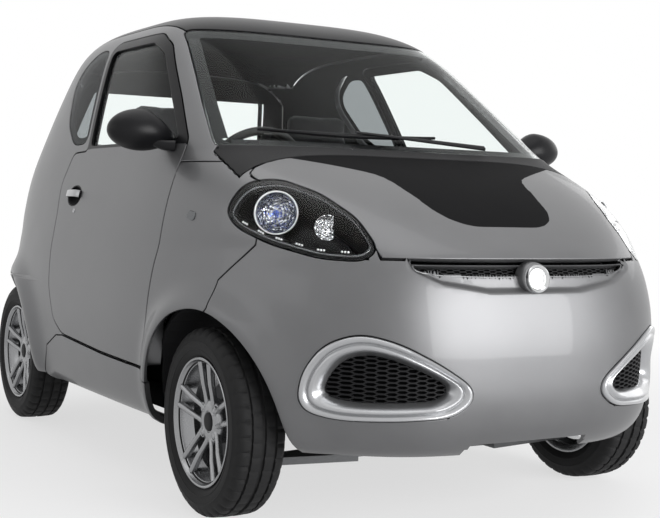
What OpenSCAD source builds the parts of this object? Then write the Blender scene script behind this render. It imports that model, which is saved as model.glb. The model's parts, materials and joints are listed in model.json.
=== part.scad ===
// Two-seat city car with a short bonnet, a tall glazed cabin and a wheel at each corner.
// +X points forward, +Y to the car's left, +Z up; the origin is on the road below the body's middle.

/* [Overall] */
// Distance between the two axle lines
wheelbase = 1765; // [1750:5:1780]
// Front bumper's face to the front axle line
front_overhang = 595; // [588:1:602]
// Rear axle line to the rear bumper's face
rear_overhang = 405; // [398:1:412]
// Width of the body over its doors, without the mirrors
car_width = 1540; // [1520:5:1570]
// Height from the road to the top of the roof
car_height = 1555; // [1540:5:1580]

/* [Wheels] */
// Outer diameter of a tyre
tyre_diameter = 532; // [524:2:540]
// Width of a tyre over its sidewalls
tyre_width = 155; // [145:5:160]
// Distance from the body side to the middle of a tyre
wheel_inset = 110; // [107:1:115]
// Diameter over the rim's flanges
rim_diameter = 365; // [360:1:370]
// Width of the rim over its flanges
rim_width = 140; // [136:1:142]
// Pairs of spokes around the wheel
spoke_pairs = 5; // [4:1:6]
// Width of one spoke
spoke_width = 17; // [14:1:20]
// Wheel bolts around the hub
lug_count = 4; // [4:1:5]
// Diameter of the circle of wheel bolts
lug_circle = 100; // [98:1:102]
// Diameter of a wheel bolt's hole
lug_bore = 14; // [12:1:15]
// Diameter of the wheel's centre bore
hub_bore = 60; // [56:1:62]
// Depth of the grooves around the tread
tread_depth = 7; // [5:1:8]

/* [Panels] */
// Thickness of a door below its window
door_wall = 65; // [55:1:70]
// Thickness of a door's window frame
frame_wall = 30; // [24:1:34]
// Thickness of the body sides and pillars
side_wall = 34; // [28:1:38]
// Thickness of the wings and the bumpers
sheet_wall = 14; // [10:1:16]
// Thickness of the bonnet
bonnet_wall = 18; // [14:1:22]
// Thickness of the roof and its lining
roof_wall = 22; // [18:1:24]
// Thickness of the tailgate
tailgate_wall = 34; // [28:1:38]
// Thickness of the sill covers
skirt_wall = 22; // [18:1:26]
// Thickness of the panes
glass_wall = 5; // [4:0.5:6]
// Depth of the door panes below the outer skin
glass_inset = 9; // [6:1:12]
// Gap around a door
door_gap = 8.5; // [8:0.5:9]
// Gap around the bonnet
lid_gap = 7; // [6:0.5:8]
// Gap around the tailgate
tailgate_gap = 9; // [8:0.5:10]
// Seam between two fixed panels
seam = 0.5; // [0.3:0.1:0.8]
// Radius of the wheel arches in the body skin
arch_radius = 316; // [312:1:320]
// How far an arch's flare stands out from the body side
arch_flare = 34; // [26:1:38]
// Width of the frame around a door's window
window_frame = 30; // [26:1:34]
// Height of the lower lip of the bumpers above the road
bumper_clearance = 226; // [220:1:235]
// Rise of the front lip's step at the middle of the car
chin_step = 32; // [24:1:40]
// Half width of the raised part of the front lip
chin_half = 195; // [170:5:220]

/* [Hinges] */
// Radius of the pins in all hinges
pin_radius = 4; // [3:0.5:5]
// Radius of the knuckles around the pins
knuckle_radius = 8; // [7:0.5:9]
// Height of one hinge leaf along its pin
knuckle_length = 18; // [14:1:22]
// Distance between the two hinges of a door
door_hinge_spread = 280; // [260:5:290]
// Distance of the bonnet hinges from the car's middle
bonnet_hinge_side = 300; // [260:5:340]
// Distance of the tailgate hinges from the car's middle
tailgate_hinge_side = 250; // [220:5:280]

/* [Lamps and grilles] */
// Thickness of the head lamps' clear covers
lens_wall = 4; // [3:0.5:5]
// Depth of the head lamp's bowl behind its cover
lamp_depth = 95; // [80:5:110]
// Diameter of the large reflector
beam_diameter = 112; // [100:2:120]
// Diameter of the small reflector
signal_diameter = 62; // [54:2:68]
// Depth of the tail lamps
tail_lamp_depth = 30; // [22:1:36]
// Width of the bezel around a lower grille
bezel_width = 40; // [34:1:44]
// How far a bezel stands out from the bumper
bezel_proud = 4; // [2:1:5]
// Distance between the cells of the grilles
cell_pitch = 60; // [54:1:64]
// Width of the bars between the cells
cell_bar = 6; // [5:0.5:8]
// Depth of the scoop below the bonnet's edge
scoop_depth = 20; // [14:1:24]
// Diameter of the blank badge
badge_diameter = 76; // [68:1:84]
// Thickness of the badge disc
badge_height = 9; // [6:1:12]

/* [Mirrors and handles] */
// Length of a mirror housing along the car
mirror_length = 132; // [120:2:140]
// Width of a mirror housing
mirror_width = 220; // [200:5:230]
// Height of a mirror housing
mirror_height = 132; // [120:2:140]
// Radius of the foot that carries a mirror
mirror_foot = 23; // [20:1:26]
// Length of a door handle
handle_length = 128; // [120:2:136]
// Height of a door handle
handle_height = 40; // [34:1:44]
// How far a door handle's bow is deep
handle_depth = 36; // [30:1:40]

/* [Cabin] */
// Distance from the body side to the middle of a seat
seat_inset = 445; // [435:5:455]
// Width of a seat
seat_width = 470; // [440:5:490]
// Diameter of the steering wheel
steering_diameter = 360; // [340:5:375]
// Diameter of the steering wheel's rim
steering_rim = 28; // [24:1:32]
// Radius of the steering wheel's boss
steering_boss = 62; // [56:1:70]
// Slope of the steering column
column_slope = 28; // [24:1:32]
// Radius of the steering column
column_radius = 20; // [18:1:22]

/* [Running gear] */
// Lean of the steering axis of a front wheel
kingpin_lean = 9.7; // [9:0.1:10.5]
// Radius of the brake discs
brake_radius = 112; // [100:1:118]
// Radius of the rear axle tube
axle_tube_radius = 36; // [32:1:40]
// Radius of the drive motor's housing
motor_radius = 120; // [110:2:130]
// Length of the drive motor's housing
motor_length = 300; // [280:5:340]

/* [Hidden] */

car_length = front_overhang + wheelbase + rear_overhang;
half_length = car_length / 2;
half_width = car_width / 2;
front_axle_x = half_length - front_overhang;
rear_axle_x = front_axle_x - wheelbase;
axle_z = tyre_diameter / 2;
wheel_y = half_width - wheel_inset;
seat_side = half_width - seat_inset;
overrun = 400;
reach = car_length;
fit = 0.4;
run_clearance = 0.1;

// Body skin, one row per waterline: height share of the car's height, front and rear reach shares
// of half the length, width share of half the width, place share of the widest point, squareness
// of the front and of the rear end.
level_shares = [
    [0.122, 0.850, -0.868, 0.831, -0.108, 3.2, 3.5],
    [0.145, 0.948, -0.948, 0.929, -0.108, 3.4, 4.0],
    [0.193, 0.988, -0.984, 0.964, -0.108, 3.5, 4.0],
    [0.257, 0.997, -0.997, 0.983, -0.108, 3.5, 4.0],
    [0.319, 0.996, -0.999, 0.995, -0.108, 3.5, 4.0],
    [0.375, 0.990, -1.000, 1.000, -0.108, 3.5, 4.0],
    [0.437, 0.977, -0.998, 0.995, -0.108, 3.4, 4.0],
    [0.479, 0.961, -0.995, 0.983, -0.108, 3.3, 4.0],
    [0.514, 0.915, -0.992, 0.971, -0.108, 3.6, 4.1],
    [0.559, 0.835, -0.985, 0.953, -0.108, 4.1, 4.2],
    [0.611, 0.720, -0.969, 0.926, -0.108, 4.6, 4.4],
    [0.662, 0.579, -0.937, 0.899, -0.115, 4.8, 4.5],
    [0.682, 0.539, -0.922, 0.888, -0.120, 4.9, 4.5],
    [0.804, 0.344, -0.850, 0.808, -0.150, 4.7, 4.5],
    [0.910, 0.170, -0.767, 0.722, -0.200, 4.6, 4.5],
    [0.955, 0.087, -0.705, 0.643, -0.240, 4.2, 4.2],
    [0.984, -0.014, -0.600, 0.513, -0.280, 3.7, 4.0],
    [0.997, -0.145, -0.434, 0.286, -0.285, 3.0, 3.2],
    [1.000, -0.260, -0.310, 0.040, -0.285, 2.6, 2.6]
];
end_columns = 4;
side_columns = 5;

// Outlines seen from the side: [share of half the length, share of the height].
door_shares = [
    [0.367, 0.643], [0.366, 0.560], [0.360, 0.480], [0.333, 0.360], [0.316, 0.262], [0.300, 0.240],
    [0.040, 0.245], [-0.250, 0.258], [-0.310, 0.287], [-0.334, 0.360], [-0.332, 0.440],
    [-0.331, 0.530], [-0.354, 0.600], [-0.318, 0.672], [-0.217, 0.675], [-0.315, 0.918],
    [-0.285, 0.934], [-0.015, 0.933], [0.072, 0.900], [0.239, 0.778], [0.3595, 0.6835]
];
quarter_glass_shares = [
    [-0.240, 0.694], [-0.334, 0.918], [-0.420, 0.923], [-0.505, 0.880], [-0.520, 0.835],
    [-0.450, 0.745], [-0.340, 0.690]
];
wing_shares = [
    [0.367, 0.643], [0.366, 0.560], [0.360, 0.480], [0.333, 0.360], [0.316, 0.262], [0.318, 0.233],
    [0.335, 0.218], [0.436, 0.202], [0.612, 0.380], [0.612, 0.430], [0.690, 0.495], [0.690, 0.643]
];
sill_shares = [
    [0.460, 0.110], [0.436, 0.2015], [0.335, 0.2175], [0.300, 0.2325], [0.040, 0.2375],
    [-0.250, 0.2505], [-0.300, 0.250], [-0.390, 0.219], [-0.460, 0.110]
];

// Outlines seen from the front or the rear: [share of half the width, share of the height].
windscreen_shares = [[0.805, 0.670], [0.750, 0.768], [0.686, 0.869], [0.637, 0.936]];
tailgate_shares = [
    [0.640, 0.370], [0.705, 0.410], [0.727, 0.611], [0.695, 0.740], [0.610, 0.888], [0.575, 0.960]
];
rear_glass_shares = [[0.575, 0.707], [0.590, 0.730], [0.520, 0.865], [0.470, 0.885]];
lower_grille_shares = [
    [0.800, 0.245], [0.785, 0.290], [0.740, 0.338], [0.655, 0.358], [0.545, 0.343], [0.410, 0.308],
    [0.290, 0.270], [0.285, 0.243], [0.360, 0.219], [0.535, 0.214], [0.700, 0.212], [0.775, 0.222]
];
scoop_shares = [[0.500, 0.490], [0.490, 0.460], [0.380, 0.436], [0.200, 0.422]];
slot_shares = [[0.475, 0.482], [0.470, 0.465], [0.380, 0.458], [0.200, 0.455]];
tail_lamp_shares = [[0.735, 0.578], [0.790, 0.515], [0.852, 0.560], [0.845, 0.625], [0.775, 0.655]];

// Outline of a head lamp seen from the car's corner: [share of half the length, of the height].
head_lamp_shares = [
    [0.070, 0.555], [0.105, 0.605], [0.175, 0.613], [0.270, 0.588], [0.355, 0.547],
    [0.409, 0.496], [0.385, 0.475], [0.300, 0.477], [0.185, 0.498], [0.100, 0.525]
];
beam_place_shares = [0.194, 0.551];
signal_place_shares = [0.307, 0.527];

// Heights and lines where panels meet.
belt_z = 0.684 * car_height;
shoulder_drop = 6;
bonnet_front_z = 0.481 * car_height;
bonnet_rear_x = 0.579 * half_length;
bonnet_half = 0.785 * half_width;
bonnet_nose_half = 0.560 * half_width;
wing_top_z = 0.643 * car_height;
cowl_top_z = 0.677 * car_height;
cowl_half = 0.815 * half_width;
roof_half = 0.630 * half_width;
roof_low_z = 0.905 * car_height;
rear_bumper_top_z = 0.365 * car_height;
rear_bumper_front_x = -0.740 * half_length;
corner_round = 14;
badge_lean = 84;
smooth_steps = 2;

// Door hinge line: it lies just below the skin and leans in with the body side.
door_hinge_x = 0.304 * half_length;
door_hinge_low_y = 0.969 * half_width;
door_hinge_high_y = 0.928 * half_width;
door_hinge_lean = atan2(door_hinge_low_y - door_hinge_high_y, door_hinge_spread);
door_hinge_middle = 0.450 * car_height;
door_hinge_low = door_hinge_middle - door_hinge_spread / 2;
door_hinge_high = door_hinge_middle + door_hinge_spread / 2;
door_hinge_middle_y = (door_hinge_low_y + door_hinge_high_y) / 2;
hinge_arm = 12;
hinge_arm_reach = 120;
hinge_pocket_height = 76;
hinge_pocket_back = 16;
hinge_pocket_skin = 9;

// Bonnet and tailgate hinge lines, behind the cowl's edge and ahead of the roof's edge.
bonnet_hinge_back = 46;
bonnet_hinge_x = bonnet_rear_x - bonnet_hinge_back;
bonnet_hinge_z = 0.6575 * car_height;
bonnet_arm_dip = 46;
bonnet_arm_length = 140;
bonnet_arm_sweep = 0.15;
tailgate_hinge_x = -0.697 * half_length;
tailgate_top_x = -0.745 * half_length;
tailgate_hinge_z = 0.9215 * car_height;
tailgate_arm_dip = 40;
tailgate_arm_length = 110;
tailgate_arm_sweep = 0.8;
tailgate_arm_turn = 38;
lid_arm = 16;
lug_wall = 8;

// Floor, arches and bulkheads.
floor_z = 0.144 * car_height;
floor_wall = 26;
floor_top = floor_z + floor_wall;
tub_radius = 330;
tub_wall = 10;
front_tub_y = wheel_y - 288;
rear_tub_y = wheel_y - 140;
firewall_x = 0.4424 * half_length;
firewall_wall = 16;
firewall_top = 0.620 * car_height;
deck_wall = 14;
deck_z = axle_z + tub_radius + deck_wall / 4;
load_floor_rise = 6;
load_floor_half = 0.680 * half_width;
jack_pad_radius = 40;
jack_pad_height = 12;
jack_pad_x = 0.0723 * half_length;
jack_pad_y = 0.650 * half_width;
battery_top = 0.246 * car_height;
deck_front = -0.380 * half_length;
post_x = 0.3906 * half_length;
post_depth = 60;
post_y = half_width - 180;
post_width = 70;
post_top = 0.635 * car_height;
axle_slot = 90;

// Running gear.
kingpin_low_y = wheel_y - 85;
kingpin_low_z = 160;
ball_radius = 9;
ball_length = 22;
upright_radius = 20;
upright_length = 200;
strut_radius = 23;
strut_length = 410;
rod_radius = 10;
rod_length = 468;
bearing_radius = 34;
bearing_low = 436;
bearing_high = 466;
carrier_radius = 36;
flange_radius = 62;
flange_wall = 14;
flange_play = 2;
hub_face = 10;
disc_wall = 12;
spigot_length = 18;
beam_width = 70;
beam_z = 136;
arm_wall = 22;
arm_drop = 6;
arm_inner_y = 250;
beam_overlap = 60;
arm_base = 150;
eye_radius = 22;
tie_arm = 105;
tie_wall = 20;
drum_wall = 46;
link_y = wheel_y - 230;
link_width = 44;
spring_radius = 48;

function side_points(shares) = [for (s = shares) [s[0] * half_length, s[1] * car_height]];
function end_points(shares) = [for (s = shares) [s[0] * half_width, s[1] * car_height]];
function twin_points(shares) = let (half = end_points(shares), n = len(half))
    concat(half, [for (i = [1:n]) [-half[n - i][0], half[n - i][1]]]);
function bend(a, b, c, d, t) = 0.5 * (2 * b + (c - a) * t + (2 * a - 5 * b + 4 * c - d) * t * t
    + (3 * b - a - 3 * c + d) * t * t * t);
function smooth_loop(points) = let (n = len(points)) [
    for (i = [0:n - 1], k = [0:smooth_steps - 1])
        bend(points[(i + n - 1) % n], points[i], points[(i + 1) % n], points[(i + 2) % n], k / smooth_steps)
];

// Body skin: rings of superellipse quarters, one ring per level, with flares over the wheels.
function limit(v) = max(0, min(1, v));
function quarter_share(p, n) = let (k = pow(2, -1 / n)) p < 0.5
    ? let (across = 2 * p * k) [pow(1 - pow(across, n), 1 / n), across]
    : let (along = 2 * (1 - p) * k) [along, pow(1 - pow(along, n), 1 / n)];
function flare_at(x, z, axle_x) = let (r = norm([x - axle_x, z - axle_z]) - arch_radius - 10)
    arch_flare * exp(-r * r / 3600) * limit((0.51 * car_height - z) / 230);
function column_steps() = concat([for (i = [0:end_columns - 1]) i / end_columns / 2],
    [for (i = [0:side_columns]) 0.5 + i / side_columns / 2]);
function skin_columns() = let (p = column_steps(), n = len(p)) concat(
    [for (i = [0:n - 2]) [p[i], 1, true]], [for (i = [0:n - 2]) [p[n - 1 - i], 1, false]],
    [for (i = [0:n - 2]) [p[i], -1, false]], [for (i = [0:n - 2]) [p[n - 1 - i], -1, true]]);
function skin_point(level, column) = let (
    ahead = column[2],
    share = quarter_share(column[0], ahead ? level[5] : level[6]),
    x = (level[4] + ((ahead ? level[1] : level[2]) - level[4]) * share[0]) * half_length,
    z = level[0] * car_height,
    swell = flare_at(x, z, front_axle_x) + flare_at(x, z, rear_axle_x))
    [x, column[1] * (level[3] * half_width * share[1] + swell * limit(3 * share[1] - 1.5)), z];
function skin_grid() = let (columns = skin_columns())
    [for (level = level_shares) [for (c = columns) skin_point(level, c)]];
function skin_normal(grid, i, j) = let (rows = len(grid), n = len(grid[0]),
    around = grid[i][(j + 1) % n] - grid[i][(j + n - 1) % n],
    up = grid[min(i + 1, rows - 1)][j] - grid[max(i - 1, 0)][j], out = cross(around, up))
    out / norm(out);

// Solid inside the skin, pulled in by a wall thickness.
module skin(inset = 0) {
    grid = skin_grid();
    rows = len(grid);
    n = len(grid[0]);
    points = [for (i = [0:rows - 1], j = [0:n - 1]) grid[i][j] - inset * skin_normal(grid, i, j)];
    walls = [for (i = [0:rows - 2], j = [0:n - 1], half = [0, 1]) let (
        a = i * n + j, b = i * n + (j + 1) % n, left = j < n / 2)
        left ? (half == 0 ? [a, a + n, b] : [b, a + n, b + n]) : (half == 0 ? [a, a + n, b + n] : [a, b + n, b])];
    polyhedron(points, concat(walls, [[for (j = [0:n - 1]) j]],
        [[for (j = [0:n - 1]) rows * n - 1 - j]]), convexity = 8);
}
module shell(wall, start = 0) difference() { skin(start); skin(start + wall); }
module as_mesh() resize([0, 0, 0]) children();

// Prisms that cut panels out of the skin; the side ones reach out to the car's right only.
module from_right() rotate([90, 0, 0]) linear_extrude(reach) children();
module from_front() rotate([90, 0, 90]) linear_extrude(reach) children();
module from_rear() translate([-reach, 0, 0]) from_front() children();
module from_corner() rotate([0, 0, -45]) from_front() children();
module box_from(low, high) translate(low) cube(high - low);

module grown(gap) offset(delta = gap) children();
module rounded(r) offset(r = r) offset(delta = -r) children();
module door_outline() polygon(side_points(door_shares));
module door_window_outline() intersection() {
    rounded(corner_round) grown(-window_frame) door_outline();
    translate([-half_length, belt_z]) square([car_length, car_height]);
}
module quarter_glass_outline() rounded(corner_round) polygon(side_points(quarter_glass_shares));
module head_lamp_outline() polygon(smooth_loop(side_points(head_lamp_shares)));
module lower_grille_outline() mirror([1, 0]) polygon(smooth_loop(end_points(lower_grille_shares)));
module tail_lamp_outline() mirror([1, 0]) polygon(smooth_loop(end_points(tail_lamp_shares)));
module windscreen_outline() rounded(corner_round) polygon(twin_points(windscreen_shares));
module tailgate_outline() rounded(3 * corner_round) polygon(twin_points(tailgate_shares));
module rear_glass_outline() rounded(2 * corner_round) polygon(twin_points(rear_glass_shares));
module scoop_outline() polygon(twin_points(scoop_shares));
module slot_outline() polygon(twin_points(slot_shares));
module bonnet_outline() polygon([[bonnet_rear_x, -bonnet_half], [0.62 * half_length, -bonnet_half],
    [0.90 * half_length, -bonnet_nose_half], [reach, -bonnet_nose_half], [reach, bonnet_nose_half],
    [0.90 * half_length, bonnet_nose_half], [0.62 * half_length, bonnet_half], [bonnet_rear_x, bonnet_half]]);

module door_space(gap = 0) from_right() grown(gap) door_outline();
module wing_space(gap = 0) from_right() grown(gap) polygon(side_points(wing_shares));
module sill_space(gap = 0) from_right() grown(gap) polygon(side_points(sill_shares));
module head_lamp_space(gap = 0) from_corner() grown(gap) head_lamp_outline();
module lower_grille_space(gap = 0) from_front() grown(gap) lower_grille_outline();
module bonnet_space(gap = 0) translate([0, 0, bonnet_front_z - gap]) linear_extrude(car_height)
    grown(gap) bonnet_outline();
module windscreen_space(gap = 0) from_front() grown(gap) windscreen_outline();
module tailgate_space(gap = 0) intersection() {
    from_rear() grown(gap) tailgate_outline();
    box_from([-reach, -car_width, 0], [tailgate_top_x + gap, car_width, 2 * car_height]);
}
module tail_lamp_space(gap = 0) from_rear() grown(gap) tail_lamp_outline();
module cowl_space(gap = 0) box_from([0.40 * half_length - gap, -cowl_half - gap, 0.60 * car_height],
    [bonnet_rear_x - lid_gap + gap, cowl_half + gap, cowl_top_z + gap]);
module roof_space(gap = 0) box_from([tailgate_top_x - gap, -roof_half - gap, roof_low_z - gap],
    [0.20 * half_length, roof_half + gap, 2 * car_height]);
module rear_bumper_space(gap = 0) box_from([-reach, -car_width, 0],
    [rear_bumper_front_x + gap, car_width, rear_bumper_top_z + gap]);
module arch_space(axle_x, radius = arch_radius) translate([axle_x, 0, axle_z]) rotate([90, 0, 0])
    cylinder(r = radius, h = 2 * car_width, center = true, $fn = 48);
module both_sides() { children(); mirror([0, 1, 0]) children(); }

// Hinges.
module door_hinge_place(z) translate([door_hinge_x, -door_hinge_middle_y, door_hinge_middle])
    rotate([-door_hinge_lean, 0, 0]) translate([0, 0, (z - door_hinge_middle) / cos(door_hinge_lean)]) children();
module at_door_hinges() for (z = [door_hinge_low, door_hinge_high]) door_hinge_place(z) children();
module door_hinge_pocket() at_door_hinges()
    box_from([-hinge_pocket_back, -hinge_pocket_skin, -hinge_pocket_height / 2],
        [overrun, overrun, hinge_pocket_height / 2]);
module door_hinge_leaf() for (end = [-1, 1]) translate([0, 0, end * knuckle_length]) difference() {
    union() {
        cylinder(r = knuckle_radius, h = knuckle_length - 2, center = true, $fn = 40);
        translate([-hinge_pocket_back - 4, -knuckle_radius, -knuckle_length / 2 + 1])
            cube([hinge_pocket_back + 4, 2 * knuckle_radius, knuckle_length - 2]);
    }
    cylinder(r = pin_radius + run_clearance, h = overrun, center = true, $fn = 40);
}
module door_hinge_bracket() {
    cylinder(r = pin_radius, h = 3 * knuckle_length - 4, center = true, $fn = 40);
    cylinder(r = knuckle_radius, h = knuckle_length, center = true, $fn = 40);
    translate([-hinge_arm / 2, 0, -knuckle_length / 2]) cube([hinge_arm, hinge_arm_reach, knuckle_length]);
    translate([-hinge_arm / 2, hinge_arm_reach - hinge_arm, -knuckle_length / 2])
        cube([post_x - door_hinge_x + hinge_arm, hinge_arm, knuckle_length]);
}
// Side view of a goose neck, whose root ends inside the eye.
module lid_arm_profile(dip, length, sweep, root = 0.94 * knuckle_radius) polygon([[-root, 0],
    [0.6 * sweep * dip, -dip - lid_arm], [0.7 * length, -dip - lid_arm], [length, -dip + lid_arm / 2],
    [length, overrun], [length - lid_arm, overrun], [length - lid_arm, -dip + lid_arm], [0.62 * length, -dip],
    [max(knuckle_radius, sweep * dip), -dip], [root, 0]]);
// Goose neck of a lid, left long at its tip, where the lid's skin cuts it off.
module lid_arm_neck(dip, length, sweep) rotate([90, 0, 0]) difference() {
    linear_extrude(lid_arm, center = true) lid_arm_profile(dip, length, sweep);
    cylinder(r = (2 * pin_radius + knuckle_radius) / 3, h = overrun, center = true, $fn = 24);
}
module lid_arm_eye() rotate([90, 0, 0]) difference() {
    cylinder(r = knuckle_radius, h = lid_arm - 1, center = true, $fn = 40);
    cylinder(r = pin_radius + run_clearance, h = overrun, center = true, $fn = 40);
}
module at_lug_walls() rotate([90, 0, 0]) for (end = [-1, 1])
    translate([0, 0, end * (lid_arm + lug_wall + 2) / 2]) children();
module lid_pin() {
    rotate([90, 0, 0]) cylinder(r = pin_radius, h = lid_arm + 2 * lug_wall + 2, center = true, $fn = 40);
    at_lug_walls() cylinder(r = knuckle_radius, h = lug_wall, center = true, $fn = 40);
}
module lug_plates() at_lug_walls() translate([-knuckle_radius, 0, -lug_wall / 2])
    cube([2 * knuckle_radius, overrun, lug_wall]);
module at_bonnet_hinges() for (side = [-1, 1])
    translate([bonnet_hinge_x, side * bonnet_hinge_side, bonnet_hinge_z]) children();
module at_tailgate_hinges() for (side = [-1, 1])
    translate([tailgate_hinge_x, side * tailgate_hinge_side, tailgate_hinge_z]) children();

module lid_arm_pocket() {
    rotate([90, 0, 0]) cylinder(r = knuckle_radius + lid_gap, h = lid_arm + lug_wall, center = true, $fn = 24);
    box_from([-overrun, -lid_arm / 2 - lug_wall / 2, -overrun], [0, lid_arm / 2 + lug_wall / 2, -knuckle_radius / 2]);
}

module paint() color("silver") children();
module black_trim() color("#1b1c1e") children();
module dark_glass() color("#3d4a4a") children();
module steel() color("#6d7074") children();

// Front panels.
module front_bumper() paint() as_mesh() {
    difference() {
        shell(sheet_wall);
        box_from([-reach, -car_width, 0], [0.50 * half_length, car_width, 2 * car_height]);
        box_from([-reach, -car_width, bonnet_front_z - lid_gap], [reach, car_width, 2 * car_height]);
        box_from([-reach, -car_width, 0], [reach, car_width, bumper_clearance]);
        from_front() polygon([[-chin_half - 2 * chin_step, 0], [-chin_half, bumper_clearance + chin_step],
            [chin_half, bumper_clearance + chin_step], [chin_half + 2 * chin_step, 0]]);
        both_sides() { wing_space(seam); head_lamp_space(seam); lower_grille_space(0); }
        arch_space(front_axle_x);
        from_front() scoop_outline();
    }
    intersection() {
        shell(sheet_wall, scoop_depth);
        difference() {
            from_front() grown(sheet_wall) scoop_outline();
            from_front() slot_outline();
            box_from([-reach, -car_width, bonnet_front_z - lid_gap], [reach, car_width, 2 * car_height]);
        }
    }
    intersection() {
        shell(scoop_depth + sheet_wall);
        difference() {
            from_front() grown(sheet_wall) scoop_outline();
            from_front() scoop_outline();
            box_from([-reach, -car_width, bonnet_front_z - lid_gap], [reach, car_width, 2 * car_height]);
        }
    }
    difference() {
        badge_boss();
        box_from([-reach, -car_width, bonnet_front_z - lid_gap], [reach, car_width, 2 * car_height]);
    }
}
module bonnet() paint() {
    as_mesh() {
        difference() {
            intersection() { shell(bonnet_wall); bonnet_space(); }
            both_sides() head_lamp_space(lid_gap);
        }
        intersection() {
            skin(bonnet_wall / 2);
            at_bonnet_hinges() lid_arm_neck(bonnet_arm_dip, bonnet_arm_length, bonnet_arm_sweep);
        }
    }
    at_bonnet_hinges() lid_arm_eye();
}
module wing() paint() as_mesh() difference() {
    intersection() {
        shell(sheet_wall);
        wing_space();
        box_from([0, -car_width, 0], [reach, -0.5 * half_width, car_height]);
    }
    door_space(door_gap);
    bonnet_space(lid_gap);
    head_lamp_space(seam);
    cowl_space(seam);
    arch_space(front_axle_x);
}
module cowl() black_trim() {
    as_mesh() {
        intersection() {
            shell(sheet_wall);
            cowl_space();
            box_from([0.45 * half_length, -cowl_half, 0], [reach, cowl_half, cowl_top_z]);
        }
        intersection() { skin(sheet_wall / 2); at_bonnet_hinges() lug_plates(); }
    }
    at_bonnet_hinges() lid_pin();
}
module windscreen() dark_glass() as_mesh() intersection() {
    shell(glass_wall);
    windscreen_space(-seam);
    box_from([0, -car_width, cowl_top_z + seam], [reach, car_width, car_height]);
}
module head_lens() color("#dfe6e8") as_mesh() intersection() { shell(lens_wall); head_lamp_space(); in_front(); }
module in_front() box_from([0.40 * half_length, -car_width, 0], [reach, 0, car_height]);
module head_lamp() black_trim() as_mesh() difference() {
    intersection() { shell(lamp_depth, lens_wall + fit); head_lamp_space(-fit); in_front(); }
    intersection() { shell(lamp_depth / 3); head_lamp_space(-3 * lens_wall); in_front(); }
    for (bowl = [[beam_place_shares, beam_diameter], [signal_place_shares, signal_diameter]])
        from_corner_at(bowl[0]) sphere(d = bowl[1], $fn = 14);
}
// A place on the head lamp's bowl, given as its outline's shares, on the lamp's inner floor.
lamp_floor = 0.520 * half_length + 0.495 * half_width;
module from_corner_at(place) rotate([0, 0, -45])
    translate([lamp_floor, place[0] * half_length, place[1] * car_height]) children();

// Grilles: bars left between hexagonal cells, stretched across the car.
module cells(width, height) {
    stretch = [1.3, 0.8];
    rows = ceil(height / cell_pitch / stretch[1] / 0.433);
    columns = ceil(width / cell_pitch / stretch[0] / 3) + 1;
    scale(stretch) for (row = [0:rows], column = [-columns:columns])
        translate([(column + (row % 2) / 2) * cell_pitch * 1.5, row * cell_pitch * 0.433])
            circle(d = cell_pitch - cell_bar, $fn = 6);
}
module lower_grille() {
    color("#b9bcc0") as_mesh() {
        intersection() {
            difference() { skin(-bezel_proud); skin(2 * sheet_wall); }
            difference() { lower_grille_space(-fit); lower_grille_space(-bezel_width); }
            in_front();
        }
        intersection() {
            shell(cell_bar, sheet_wall + cell_bar);
            difference() {
                lower_grille_space(-bezel_width + cell_bar);
                from_front() translate([-0.53 * half_width, 0.20 * car_height])
                    cells(0.52 * half_width, 0.16 * car_height);
            }
            in_front();
        }
    }
}
module slot_opening() intersection() {
    slot_outline();
    translate([-car_width, 0]) square([2 * car_width, bonnet_front_z - lid_gap]);
}
module upper_grille() black_trim() as_mesh() difference() {
    intersection() {
        shell(cell_bar, scoop_depth + fit);
        from_front() difference() {
            grown(-fit) slot_opening();
            difference() {
                intersection() {
                    grown(-fit - cell_bar) slot_opening();
                    translate([0, 0.45 * car_height]) cells(0.95 * half_width, 0.04 * car_height);
                }
                translate([-badge_diameter / 2, 0]) square([badge_diameter, car_height]);
            }
        }
    }
    badge_boss(fit);
}
module badge_place() translate([0.974 * half_length, 0, 0.449 * car_height]) rotate([0, badge_lean, 0])
    children();
module badge_boss(gap = 0) badge_place() translate([0, 0, -scoop_depth - sheet_wall])
    cylinder(d1 = 1.4 * badge_diameter + 2 * gap, d2 = badge_diameter + 2 * gap, h = scoop_depth + sheet_wall,
        $fn = 24);
module badge() color("#c9ccd0") badge_place() translate([0, 0, fit])
    cylinder(d = badge_diameter, h = badge_height, $fn = 64);

// Doors and body sides.
module door() paint() {
    as_mesh() union() {
        difference() {
            intersection() { skin(); door_space(); }
            skin(door_wall);
            intersection() {
                skin(frame_wall);
                box_from([-reach, -car_width, belt_z - shoulder_drop], [reach, 0, car_height]);
            }
            from_right() door_window_outline();
            door_hinge_pocket();
        }
        door_handle();
    }
    at_door_hinges() door_hinge_leaf();
}
module door_handle() translate([-0.215 * half_length, -0.958 * half_width, 0.570 * car_height])
    scale([handle_length, handle_depth, handle_height] / handle_height) sphere(d = handle_height, $fn = 14);
module door_glass() dark_glass() as_mesh() intersection() {
    shell(glass_wall, glass_inset);
    from_right() grown(-fit) door_window_outline();
}
module quarter_glass() dark_glass() as_mesh() intersection() {
    shell(glass_wall, glass_inset / 3);
    from_right() grown(-fit) quarter_glass_outline();
}
module side_panel() paint() as_mesh() difference() {
    intersection() {
        shell(side_wall);
        box_from([-reach, -car_width, bumper_clearance], [0.56 * half_length, -0.45 * half_width, car_height]);
    }
    door_space(door_gap);
    wing_space(seam);
    box_from([0.20 * half_length, -car_width, 0], [reach, 0, wing_top_z + seam]);
    sill_space(seam);
    from_right() quarter_glass_outline();
    windscreen_front() windscreen_space();
    cowl_space(seam);
    roof_space(seam);
    tailgate_space(tailgate_gap);
    tail_lamp_space(seam);
    rear_bumper_space(seam);
    arch_space(rear_axle_x);
}
module windscreen_front() intersection() {
    children();
    box_from([0, -car_width, 0], [reach, car_width, 2 * car_height]);
}
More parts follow.
